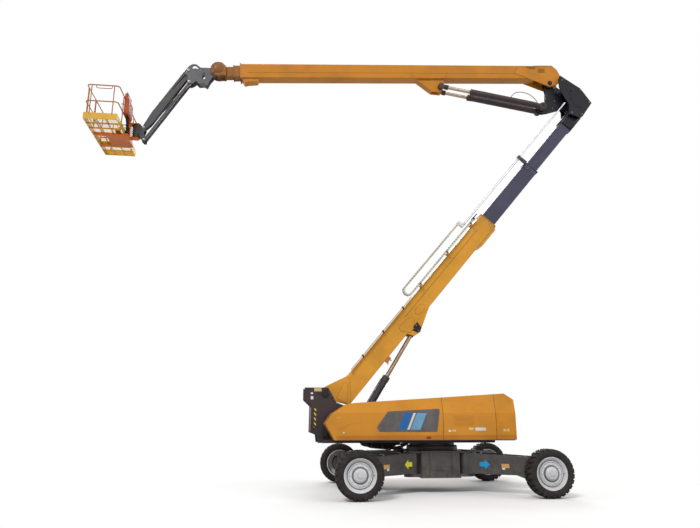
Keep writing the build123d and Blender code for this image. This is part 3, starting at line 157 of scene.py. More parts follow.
class Recipe:
    """A material in the making."""

    def __init__(self, name: str) -> None:
        """Start an empty node tree.

        Args:
            name: the material's name.
        """
        self.material = bpy.data.materials.new(f"finish_{name}")
        self.material.use_nodes = True
        self.tree = self.material.node_tree
        self.tree.nodes.clear()
        self.place = self.node("ShaderNodeTexCoord")["Object"]

    def node(
        self, kind: str, settings: dict[str, object] | None = None,
        sockets: dict[str | int, object] | None = None,
    ) -> Outputs:
        """Add a node.

        Args:
            kind: the node's type.
            settings: its properties, and "stops" for a colour ramp.
            sockets: numbers, colours or links for its inputs, by name or index.

        Returns:
            The node's outputs.
        """
        made = self.tree.nodes.new(kind)
        for key, value in (settings or {}).items():
            if key == "stops":
                ramp = made.color_ramp
                for spare in range(len(value) - len(ramp.elements)):
                    ramp.elements.new(0.5 + spare * 0.01)
                for element, (position, colour) in zip(ramp.elements, value):
                    element.position, element.color = position, linear(colour)
            else:
                setattr(made, key, value)
        for key, value in (sockets or {}).items():
            if isinstance(value, Link):
                self.tree.links.new(value.socket, made.inputs[key])
            else:
                made.inputs[key].default_value = value
        return Outputs(self, made)

    def noise(
        self, scale: float, detail: float = 3.0, stretch: Sequence[float] = (1.0, 1.0, 1.0),
    ) -> Link:
        """Smooth noise over the object, in blotches of about 1/scale metres.

        Args:
            scale: how fine it is.
            detail: its octaves.
            stretch: scale factors along X, Y and Z.

        Returns:
            A value from 0 to 1.
        """
        moved = self.node(
            "ShaderNodeMapping", None, {"Vector": self.place, "Scale": stretch},
        )["Vector"]
        made = self.node(
            "ShaderNodeTexNoise", None,
            {"Vector": moved, "Scale": scale, "Detail": detail, "Roughness": 0.55},
        )
        return made["Fac"]

    def axes(self) -> tuple[Link, Link, Link]:
        """The object's own X, Y and Z."""
        made = self.node("ShaderNodeSeparateXYZ", None, {"Vector": self.place})
        return made["X"], made["Y"], made["Z"]

    def mix(self, share: Link | Number, low: object, high: object) -> Link:
        """A colour between two colours."""
        made = self.node("ShaderNodeMix", {"data_type": "RGBA"}, {0: share, 6: low, 7: high})
        return made[2]

    def finish(
        self, colour: object, roughness: object, metallic: float = 0.0, bump: Link | None = None,
        height: float = 0.001, coat: float = 0.0,
    ) -> bpy.types.Material:
        """Close the material with one principled shader.

        Args:
            colour: a colour or link.
            roughness: a number or link.
            metallic: 0 for paint and rubber, 1 for bare metal.
            bump: a height link, 0 to 1.
            height: what 1 in bump stands for, in metres.
            coat: weight of a clear coat.

        Returns:
            The finished material.
        """
        sockets: dict[str | int, object] = {
            "Base Color": colour, "Roughness": roughness, "Metallic": metallic, "Coat Weight": coat,
            "Coat Roughness": 0.12, "Specular IOR Level": 0.28,
        }
        if bump is not None:
            made = self.node(
                "ShaderNodeBump", None, {"Height": bump, "Strength": 1.0, "Distance": height},
            )
            sockets["Normal"] = made["Normal"]
        shader = self.node("ShaderNodeBsdfPrincipled", None, sockets)
        self.node("ShaderNodeOutputMaterial", None, {"Surface": shader["BSDF"]})
        return self.material


# ---- finishes -----------------------------------------------------------------------------


@dataclass(frozen=True)
class Paint:
    """Sprayed paint with soft cloudiness, a fine orange peel and a little dust low down."""

    name: str
    colour: Colour
    rough: float = 0.34
    cloud: float = 0.10
    peel: float = 0.00012
    dust: float = 0.0
    coat: float = 0.08

    def make(self) -> bpy.types.Material:
        """Build the material.

        Returns:
            The finished material.
        """
        recipe = Recipe(self.name)
        dark = tuple(c * (1.0 - self.cloud) for c in self.colour)
        base = recipe.mix(
            recipe.noise(1.3, 4.0).ramp(0.35, 0.65), linear(self.colour), linear(dark),
        )
        speck = recipe.noise(38.0, 5.0).ramp(0.62, 0.80) * self.cloud
        base = recipe.mix(speck, base, linear(tuple(c * 0.72 for c in self.colour)))
        if self.dust:
            low = 1.0 - recipe.axes()[2].ramp(0.25, 1.5)
            grime = low * recipe.noise(5.0, 6.0).ramp(0.30, 0.75) * self.dust
            base = recipe.mix(grime, base, linear((0.56, 0.52, 0.46)))
        rough = recipe.noise(7.0, 4.0) * 0.12 + (self.rough - 0.06)
        return recipe.finish(base, rough, 0.0, recipe.noise(240.0, 2.0), self.peel, self.coat)


@dataclass(frozen=True)
class Rubber:
    """Black rubber, greyed by dust in blotches."""

    name: str
    colour: Colour = (0.075, 0.072, 0.070)
    dust: float = 0.35

    def make(self) -> bpy.types.Material:
        """Build the material.

        Returns:
            The finished material.
        """
        recipe = Recipe(self.name)
        share = recipe.noise(6.0, 6.0).ramp(0.40, 0.78) * self.dust
        base = recipe.mix(share, linear(self.colour), linear((0.30, 0.285, 0.26)))
        rough = recipe.noise(18.0, 3.0) * 0.18 + 0.66
        return recipe.finish(base, rough, 0.0, recipe.noise(160.0, 4.0), 0.0006)


@dataclass(frozen=True)
class Metal:
    """Bare or plated metal with faint streaks along one axis."""

    name: str
    colour: Colour
    rough: float
    stretch: tuple[float, float, float] = (1.0, 1.0, 1.0)

    def make(self) -> bpy.types.Material:
        """Build the material.

        Returns:
            The finished material.
        """
        recipe = Recipe(self.name)
        streak = recipe.noise(30.0, 4.0, self.stretch)
        dull = tuple(c * 0.86 for c in self.colour)
        base = recipe.mix(streak.ramp(0.35, 0.7), linear(self.colour), linear(dull))
        rough = recipe.noise(12.0, 3.0, self.stretch) * 0.14 + (self.rough - 0.05)
        return recipe.finish(base, rough, 1.0, streak, 0.00008)


@dataclass(frozen=True)
class Moulded:
    """Moulded or matt plastic with a fine grain."""

    name: str
    colour: Colour
    rough: float = 0.5
    grain: float = 0.0003

    def make(self) -> bpy.types.Material:
        """Build the material.

        Returns:
            The finished material.
        """
        recipe = Recipe(self.name)
        soft = tuple(c * 0.85 for c in self.colour)
        base = recipe.mix(recipe.noise(4.0, 3.0).ramp(0.3, 0.7), linear(self.colour), linear(soft))
        rough = recipe.noise(9.0, 3.0) * 0.12 + (self.rough - 0.05)
        return recipe.finish(base, rough, 0.0, recipe.noise(420.0, 2.0), self.grain)


@dataclass(frozen=True)
class Striped:
    """Slanted warning stripes of two colours."""

    name: str
    first: Colour = (0.80, 0.70, 0.26)
    second: Colour = (0.07, 0.07, 0.07)
    pitch: float = 0.125

    def make(self) -> bpy.types.Material:
        """Build the material.

        Returns:
            The finished material.
        """
        recipe = Recipe(self.name)
        x, y, z = recipe.axes()
        band = ((x + y + z) / self.pitch).fraction() > 0.5
        base = recipe.mix(band, linear(self.first), linear(self.second))
        worn = recipe.noise(22.0, 6.0).ramp(0.60, 0.78) * 0.35
        base = recipe.mix(worn, base, linear((0.42, 0.40, 0.36)))
        return recipe.finish(
            base, recipe.noise(14.0) * 0.15 + 0.35, 0.0, recipe.noise(220.0), 0.0001,
        )


class Look(Enum):
    """Every finish on the machine."""

    BOOM = Paint("boom_yellow", (0.775, 0.500, 0.120), cloud=0.08)
    COLUMN = Paint("column_yellow", (0.835, 0.585, 0.170), cloud=0.08)
    # Darker yellow for the strips along the lower edges of the hoods and tail: painted shade where
    # the bodywork curves in underneath.
    SILL_SHADE = Paint("sill_shade_yellow", (0.730, 0.455, 0.110), rough=0.30, cloud=0.07)
    HOOD = Paint("hood_yellow", (0.805, 0.530, 0.115), rough=0.26, cloud=0.07, coat=0.25)
    # Darker yellow for beads, seam lines and windows on the booms: painted shade along creases and
    # pressed edges.
    SEAM = Paint("seam_shadow", (0.600, 0.370, 0.080), rough=0.50)
    RAM = Moulded("ram_grey", (0.290, 0.270, 0.285), rough=0.38)
    TOWER = Paint("tower_grey", (0.270, 0.268, 0.350), rough=0.38)
    KNUCKLE = Paint("knuckle_black", (0.070, 0.066, 0.105), rough=0.42)
    FRAME = Paint("frame_dark", (0.235, 0.190, 0.195), rough=0.46, dust=0.12)
    CHASSIS = Paint("chassis_grey", (0.280, 0.272, 0.270), rough=0.48, dust=0.25)
    JIB = Paint("jib_grey", (0.315, 0.308, 0.322), rough=0.40)
    BRACKET = Paint("bracket_grey", (0.400, 0.398, 0.412), rough=0.38)
    CYLINDER = Paint("cylinder_brown", (0.275, 0.225, 0.225), rough=0.36)
    HEAD = Paint("head_orange", (0.600, 0.378, 0.150), rough=0.50, cloud=0.2, peel=0.0006)
    RAIL = Paint("rail_orange", (0.725, 0.455, 0.225), rough=0.38)
    SUPPORT = Paint("support_orange", (0.840, 0.430, 0.100), rough=0.42)
    FLOOR = Paint("floor_yellow", (0.865, 0.670, 0.180), rough=0.45)
    CONSOLE = Moulded("console_red", (0.710, 0.320, 0.140))
    # Grey for thin rings on the wheel faces: painted shade in the wheels' recesses round the dish
    # and the hub.
    RECESS_SHADE = Paint("recess_shade_grey", (0.430, 0.430, 0.450), rough=0.50)
    WHEEL = Paint("wheel_silver", (0.860, 0.860, 0.870), rough=0.34, dust=0.20, coat=0.2)
    CAST = Paint("cast_yellow", (0.805, 0.530, 0.115), rough=0.40, cloud=0.10, peel=0.0004)
    ENGINE = Moulded("engine_dark", (0.17, 0.17, 0.18))
    TANK = Moulded("tank_black", (0.10, 0.10, 0.10))
    DARK = Moulded("panel_dark", (0.395, 0.375, 0.375), rough=0.30)
    BLACK = Moulded("trim_black", (0.130, 0.125, 0.130), rough=0.42)
    TYRE = Rubber("tyre_black", (0.150, 0.130, 0.125))
    HOSE = Rubber("hose_black", (0.110, 0.108, 0.110), dust=0.15)
    CHROME = Metal("rod_chrome", (0.82, 0.74, 0.66), 0.18, (0.3, 1.0, 0.3))
    TUBE = Metal("tube_silver", (0.88, 0.88, 0.90), 0.30, (0.3, 1.0, 0.3))
    STEEL = Metal("bolt_steel", (0.62, 0.61, 0.60), 0.38)
    TRACK = Paint("track_pale", (0.800, 0.780, 0.700), rough=0.5, cloud=0.12)
    STRIPES = Striped("warning_stripes")
    BLUE = Paint("mark_blue", (0.120, 0.420, 0.720), rough=0.4)
    PALE_BLUE = Paint("mark_pale_blue", (0.440, 0.640, 0.780), rough=0.4)
    CYAN = Paint("mark_cyan", (0.120, 0.590, 0.850), rough=0.4)
    YELLOW = Paint("mark_yellow", (0.930, 0.900, 0.230), rough=0.4)
    TAN = Paint("plate_tan", (0.820, 0.620, 0.370), rough=0.4)
    WHITE = Paint("plate_white", (0.880, 0.880, 0.860), rough=0.4)
    PLATE = Paint("plate_cream", (0.860, 0.740, 0.500), rough=0.4)
    SUNK = Moulded("latch_brown", (0.500, 0.230, 0.100), rough=0.4)
    RED = Moulded("signal_red", (0.720, 0.110, 0.090), rough=0.3)

    def material(self) -> bpy.types.Material:
        """The finish's material, made once.

        Returns:
            The material, the same one each time.
        """
        if self.name not in MADE:
            MADE[self.name] = self.value.make()
        return MADE[self.name]


# ---- forms --------------------------------------------------------------------------------


@dataclass(frozen=True)
class Slope:
    """A boom's own axes in side view: u along it, v square to it and upwards."""

    origin: Point2
    degrees: float

    def at(self, u: float, v: float, y: float = 0.0) -> Vector:
        """The point at (u, v) and a given y.

        Args:
            u: distance along the boom.
            v: distance square to it, upwards.
            y: distance from the centre plane.

        Returns:
            The point in the machine's frame.
        """
        a = math.radians(self.degrees)
        return Vector(
            (
                self.origin[0] + u * math.cos(a) - v * math.sin(a), y,
                self.origin[1] + u * math.sin(a) + v * math.cos(a),
            )
        )

    def outline(self, points: Iterable[Point2]) -> list[Point2]:
        """Side-view points of an outline given in u and v."""
        return [(p.x, p.z) for p in (self.at(u, v) for u, v in points)]


def rect(a0: float, b0: float, a1: float, b1: float) -> tuple[Point2, ...]:
    """The corners of a rectangle between two opposite ones."""
    return ((a0, b0), (a1, b0), (a1, b1), (a0, b1))


def disc(radius: float, edge: float, middle: float) -> tuple[Point2, ...]:
    """The turned profile of a disc, edge thick at its rim and middle thick at its axis."""
    return ((0.0, 0.0), (radius, 0.0), (radius, edge), (0.0, middle))


def lid(radius: float, edge: float, top: float, height: float) -> tuple[Point2, ...]:
    """The turned profile of a round cap, bevelled from (radius, edge) to (top, height)."""
    return ((0.0, 0.0), (radius, 0.0), (radius, edge), (top, height), (0.0, height))


class Form:
    """A mesh in the making, in the row frame."""

    def __init__(self) -> None:
        """Start with nothing."""
        self.bm = bmesh.new()

    def prism(self, corners: Sequence[Vector], depth: Vector) -> "Form":
        """A flat outline pushed along a vector.

        Args:
            corners: the outline.
            depth: the push.

        Returns:
            This form.
        """
        near = [self.bm.verts.new(c) for c in corners]
        far = [self.bm.verts.new(Vector(c) + depth) for c in corners]
        self.bm.faces.new(near)
        self.bm.faces.new(list(reversed(far)))
        for i, low in enumerate(near):
            j = (i + 1) % len(near)
            self.bm.faces.new((low, far[i], far[j], near[j]))
        return self

    def plate(self, outline: Sequence[Point2], y_low: float, y_high: float) -> "Form":
        """A plate with a side-view outline.

        Args:
            outline: its corners, X and Z.
            y_low: Y of one face.
            y_high: Y of the other face.

        Returns:
            This form.
        """
        return self.prism(
            [Vector((x, y_low, z)) for x, z in outline], Vector((0, y_high - y_low, 0)),
        )

    def block(self, low: Sequence[float], high: Sequence[float]) -> "Form":
        """An upright box.

        Args:
            low: one corner.
            high: the opposite corner.

        Returns:
            This form.
        """
        (x0, x1), (y0, y1), (z0, z1) = (sorted(pair) for pair in zip(low, high))
        corners = [
            Vector((x0, y0, z0)), Vector((x1, y0, z0)), Vector((x1, y1, z0)), Vector((x0, y1, z0)),
        ]
        return self.prism(corners, Vector((0, 0, z1 - z0)))

    def turn(
        self, profile: Sequence[Point2], centre: Sequence[float], axis: Sequence[float],
        steps: int = 48,
    ) -> "Form":
        """A closed ring or disc turned about an axis from a (radius, height) profile.

        Args:
            profile: closed outline; radii of zero lie on the axis.
            centre: where height 0 is.
            axis: the direction of height.
            steps: segments round.

        Returns:
            This form.
        """
        up = Vector(axis).normalized()
        side = up.orthogonal().normalized()
        other = up.cross(side)
        rings = []
        for k in range(steps):
            a = 2 * math.pi * k / steps
            out = side * math.cos(a) + other * math.sin(a)
            rings.append([self.bm.verts.new(Vector(centre) + out * r + up * h) for r, h in profile])
        count = len(profile)
        for k in range(steps):
            ring, after = rings[k], rings[(k + 1) % steps]
            for i in range(count):
                j = (i + 1) % count
                if profile[i][0] < TOUCH and profile[j][0] < TOUCH:
                    continue
                self.bm.faces.new((ring[i], ring[j], after[j], after[i]))
        return self

    def rod(
        self, start: Sequence[float], end: Sequence[float], radius: float, steps: int = 20,
    ) -> "Form":
        """A round bar with chamfered ends.

        Args:
            start: centre of one end.
            end: centre of the other.
            radius: the bar's radius.
            steps: sides of its section.

        Returns:
            This form.
        """
        a, b = Vector(start), Vector(end)
        length = (b - a).length
        edge = min(radius * 0.18, length * 0.2)
        profile = [
            (0.0, 0.0), (radius - edge, 0.0), (radius, edge), (radius, length - edge),
            (radius - edge, length), (0.0, length),
        ]
        return self.turn(profile, a, b - a, steps)

    def tube(
        self, points: Sequence[Sequence[float]], radius: float, steps: int = 10, smooth: int = 6,
    ) -> "Form":
        """A bent tube through points, rounded by a spline.

        Args:
            points: the route.
            radius: the tube's radius.
            steps: sides of its section.
            smooth: segments between two points.

        Returns:
            This form.
        """
        route = [Vector(p) for p in points]
        line: list[Vector] = []
        for i in range(len(route) - 1):
            p0 = route[max(i - 1, 0)]
            p1, p2 = route[i], route[i + 1]
            p3 = route[min(i + 2, len(route) - 1)]
            for k in range(smooth):
                t = k / smooth
                line.append(
                    0.5 * (
                        (2 * p1) + (p2 - p0) * t + (
                            2 * p0 - 5 * p1 + 4 * p2 - p3
                        ) * t * t + (3 * p1 - p0 - 3 * p2 + p3) * t * t * t
                    )
                )
        line.append(route[-1])
        frame_side = (line[1] - line[0]).orthogonal().normalized()
        rings = []
        for i, point in enumerate(line):
            ahead = (line[min(i + 1, len(line) - 1)] - line[max(i - 1, 0)]).normalized()
            frame_side = (frame_side - ahead * frame_side.dot(ahead)).normalized()
            other = ahead.cross(frame_side)
            ring = []
            for k in range(steps):
                a = 2 * math.pi * k / steps
                ring.append(
                    self.bm.verts.new(
                        point + (frame_side * math.cos(a) + other * math.sin(a)) * radius
                    )
                )
            rings.append(ring)
        for ring, after in zip(rings, rings[1:]):
            for k in range(steps):
                j = (k + 1) % steps
                self.bm.faces.new((ring[k], ring[j], after[j], after[k]))
        self.bm.faces.new(list(reversed(rings[0])))
        self.bm.faces.new(rings[-1])
        return self

    def bolt(self, centre: Sequence[float], axis: Sequence[float], size: float) -> "Form":
        """A hexagon bolt head on its washer.

        Args:
            centre: where it sits.
            axis: where its head points.
            size: the head's radius.

        Returns:
            This form.
        """
        self.turn(rect(0.0, 0.0, size * 1.35, size * 0.22), centre, axis, 20)
        top = Vector(centre) + Vector(axis).normalized() * size * 0.2
        return self.turn(lid(size, size * 0.62, size * 0.8, size * 0.78), top, axis, 6)

    def bolt_ring(
        self, centre: Sequence[float], radius: float, count: int, size: float,
        axis: Sequence[float], start: float = 0.0,
    ) -> "Form":
        """Bolt heads round a circle, counted from the X direction.

        Args:
            centre: the circle's centre.
            radius: its radius.
            count: how many bolts.
            size: radius of a head.
            axis: where the heads point, along Y or Z.
            start: the first bolt's place, in steps.

        Returns:
            This form.
        """
        other = Vector(UP if axis[1] else ACROSS)
        for k in range(count):
            a = 2 * math.pi * (k + start) / count
            place = Vector(centre) + (
                Vector((1, 0, 0)) * math.cos(a) + other * math.sin(a)
            ) * radius
            self.bolt(place, axis, size)
        return self

    def rim(self, axes: Slope, span: Point2, half: float, inner: Point2, thick: float) -> "Form":
        """A square rim round a boom section.

        Args:
            axes: the boom's axes.
            span: where the rim starts and ends along the boom.
            half: half the section's width.
            inner: the section's lower and upper face.
            thick: how far the rim stands out.

        Returns:
            This form.
        """
        (u0, u1), (v0, v1) = span, inner
        for y0, y1 in ((-half - thick, -half), (half, half + thick)):
            self.plate(axes.outline(rect(u0, v0 - thick, u1, v1 + thick)), y0, y1)
        for low, high in ((v0 - thick, v0), (v1, v1 + thick)):
            self.plate(axes.outline(rect(u0, low, u1, high)), -half, half)
        return self

    def bead(self, points: Sequence[Sequence[float]], radius: float) -> "Form":
        """A thin closed bead that follows a polygon.

        Args:
            points: the polygon's corners.
            radius: the bead's radius.

        Returns:
            This form.
        """
        around = [Vector(p) for p in points]
        for start, end in zip(around, around[1:] + around[:1]):
            self.rod(start, end, radius, 8)
        return self

    def mirrored(self) -> "Form":
        """Add the mirror image across the machine's centre plane.

        Returns:
            This form.
        """
        made = bmesh.ops.duplicate(
            self.bm, geom=self.bm.verts[:] + self.bm.edges[:] + self.bm.faces[:],
        )
        verts = [g for g in made["geom"] if isinstance(g, bmesh.types.BMVert)]
        faces = [g for g in made["geom"] if isinstance(g, bmesh.types.BMFace)]
        for vert in verts:
            vert.co.y = -vert.co.y
        bmesh.ops.reverse_faces(self.bm, faces=faces)
        return self

    def piece(self, name: str, body: str, look: Look, bevel: float = 0.0) -> bpy.types.Object:
        """Close the form as a piece that rides on a body.

        Args:
            name: the piece's name.
            body: the CAD body that it moves with.
            look: its finish.
            bevel: rounding of its sharp edges, in metres.

        Returns:
            The piece.
        """
        bmesh.ops.remove_doubles(self.bm, verts=self.bm.verts[:], dist=1e-6)
        bmesh.ops.recalc_face_normals(self.bm, faces=self.bm.faces[:])
        mesh = bpy.data.meshes.new(name)
        self.bm.to_mesh(mesh)
        self.bm.free()
        made = bpy.data.objects.new(name, mesh)
        bpy.context.scene.collection.objects.link(made)
        mesh.materials.append(look.material())
        if bevel:
            round_edges(made, bevel)
        mesh.shade_smooth()
        sharp_by_angle(made)
        if body:
            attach(made, body)
        LOG.info("piece %s on %s", name, body)
        return made


def round_edges(obj: bpy.types.Object, width: float) -> None:
    """Round an object's sharp edges by a modifier.

    Args:
        obj: the object.
        width: the rounding's width, in metres.
    """
    bevel = obj.modifiers.new("rounded", "BEVEL")
    bevel.width, bevel.segments = width, SMOOTH_SEGMENTS
    bevel.limit_method, bevel.angle_limit = "ANGLE", math.radians(SHARP_DEGREES)
    bevel.harden_normals = False
    bevel.use_clamp_overlap = True


def sharp_by_angle(obj: bpy.types.Object) -> None:
    """Keep steep edges sharp, in the mesh's own data.

    Args:
        obj: the object.
    """
    limit = math.radians(SHARP_DEGREES)
    work = bmesh.new()
    work.from_mesh(obj.data)
    for edge in work.edges:
        edge.smooth = not (len(edge.link_faces) == 2 and edge.calc_face_angle(0.0) > limit)
    work.to_mesh(obj.data)
    work.free()


def joint(name: str) -> dict:
    """A joint of the frame, by name."""
    return next(j for j in frame["joints"] if j["name"] == name)


def spot(name: str) -> Vector:
    """Where a hinge of the frame is."""
    return Vector(joint(name)["pos_m"])


CORNERS = {
    "front_left": (-1, -1), "front_right": (-1, 1), "rear_left": (1, -1), "rear_right": (1, 1),
}


@dataclass
class CadDress:
    """Gives every CAD node its finish and rounds its edges."""

    looks: dict[str, Look] = field(
        default_factory=lambda: {
            "chassis_frame": Look.CHASSIS, "slew_ring": Look.FRAME, "turntable_frame": Look.FRAME,
            "counterweight": Look.CAST, "engine_block": Look.ENGINE, "tank_block": Look.TANK,
            "tower_base": Look.COLUMN, "tower_mid": Look.TOWER, "tower_fly": Look.TOWER,
            "knuckle": Look.KNUCKLE, "track_lower_run": Look.TRACK, "track_upper_run": Look.TRACK,
            "track_bend": Look.TRACK, "track_push_tube": Look.TUBE,
            "tower_cylinder_barrel": Look.RAM, "tower_cylinder_rod": Look.CHROME,
            "main_boom_base": Look.BOOM, "main_boom_mid": Look.HEAD, "main_boom_fly": Look.HEAD,
            "boom_head": Look.HEAD, "level_bracket": Look.BRACKET, "jib_beam": Look.JIB,
            "jib_link": Look.JIB, "jib_cylinder_barrel": Look.JIB, "jib_cylinder_rod": Look.CHROME,
            "platform_bracket": Look.JIB, "platform_support": Look.SUPPORT,
            "basket_floor": Look.FLOOR, "basket_rails": Look.RAIL, "basket_gate": Look.RAIL,
            "control_console": Look.CONSOLE,
        }
    )
    by_start: dict[str, Look] = field(
        default_factory=lambda: {
            "axle_arm": Look.CHASSIS, "steering_knuckle": Look.CHASSIS, "tyre": Look.TYRE,
            "wheel": Look.WHEEL, "front_hood": Look.HOOD, "rear_hood": Look.HOOD,
            "main_cylinder_barrel": Look.CYLINDER, "main_cylinder_rod": Look.CHROME,
        }
    )
    edge: float = 0.004
    weld: float = 0.00002

    def look_of(self, node: str) -> Look:
        """The finish of a node, by its name or how its name starts.

        Args:
            node: the node's name.

        Returns:
            Its finish.
        """
        if node in self.looks:
            return self.looks[node]
        return next(look for start, look in self.by_start.items() if node.startswith(start))

    def build(self) -> None:
        """Dress every node."""
        for name, node in frame["nodes"].items():
            node.data.materials.clear()
            node.data.materials.append(self.look_of(name).material())
            weld = node.modifiers.new("welded", "WELD")
            weld.merge_threshold = self.weld
            round_edges(node, self.edge)


@dataclass
class Wheels:
    """Tyres with their tread."""

    radius: float = 0.5775
    carcass: float = 0.548
    half_width: float = 0.220
    bead: float = 0.3925
    lugs: int = 26

    def tyre(self, corner: str) -> None:
        """One tyre: its carcass and two rows of slanted tread blocks.

        Args:
            corner: the machine's corner.
        """
        hub = spot(f"wheel_spin_{corner}")
        axis = (0, CORNERS[corner][1], 0)
        half, bead, top = self.half_width, self.bead, self.carcass
        shoulder = [
            (bead, half - 0.040), (bead + 0.012, half - 0.026), (bead + 0.030, half - 0.020),
            (bead + 0.036, half - 0.008), (bead + 0.070, half - 0.002), (top - 0.070, half),
            (top - 0.030, half - 0.010), (top - 0.008, half - 0.035), (top, half - 0.075),
        ]
        profile = [(r, -y) for r, y in shoulder] + shoulder[::-1]
        form = Form().turn(profile, hub, axis, 96)
        for k in range(self.lugs):
            for side in (-1, 1):
                turn = 2 * math.pi * (k + (0.25 if side > 0 else -0.25)) / self.lugs
                self.lug(form, hub, turn, side)
        made = form.piece(f"tyre_tread_{corner}", f"wheel_{corner}", Look.TYRE)
        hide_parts(f"tyre_{corner}")

    def lug(self, form: Form, hub: Vector, turn: float, side: int) -> None:
        """One tread block that wraps the shoulder.

        Args:
            form: takes the block.
            hub: the wheel's centre.
            turn: the block's place round the wheel, in radians.
            side: the side of the tyre it is on, -1 or 1.
        """
        width = 2 * math.pi * self.radius / self.lugs
        stations = [
            (0.012, self.radius, 0.00, 0.30), (0.110, self.radius, 0.16, 0.34),
            (0.165, self.radius - 0.002, 0.24, 0.36), (0.200, self.radius - 0.022, 0.28, 0.34),
            (0.2155, self.radius - 0.075, 0.28, 0.26),
        ]
        rows = []
        for across, out, shift, share in stations:
            row = []
            for edge in (-1, 1):
                a = turn + (shift * width + edge * share * width) / self.radius
                for deep in (0.0, 0.045):
                    r = out - deep
                    y = side * (across - (0.012 if deep and across > 0.19 else 0.0))
                    row.append(
                        form.bm.verts.new(hub + Vector((math.sin(a) * r, y, math.cos(a) * r)))
                    )
            rows.append(row)
        for low, high in zip(rows, rows[1:]):
            form.bm.faces.new((low[0], low[2], high[2], high[0]))
            form.bm.faces.new((low[1], low[0], high[0], high[1]))
            form.bm.faces.new((low[2], low[3], high[3], high[2]))
            form.bm.faces.new((low[3], low[1], high[1], high[3]))
        form.bm.faces.new((rows[0][0], rows[0][1], rows[0][3], rows[0][2]))
        form.bm.faces.new((rows[-1][2], rows[-1][3], rows[-1][1], rows[-1][0]))

    def build(self) -> None:
        """All four wheels."""
        for corner in CORNERS:
            self.tyre(corner)


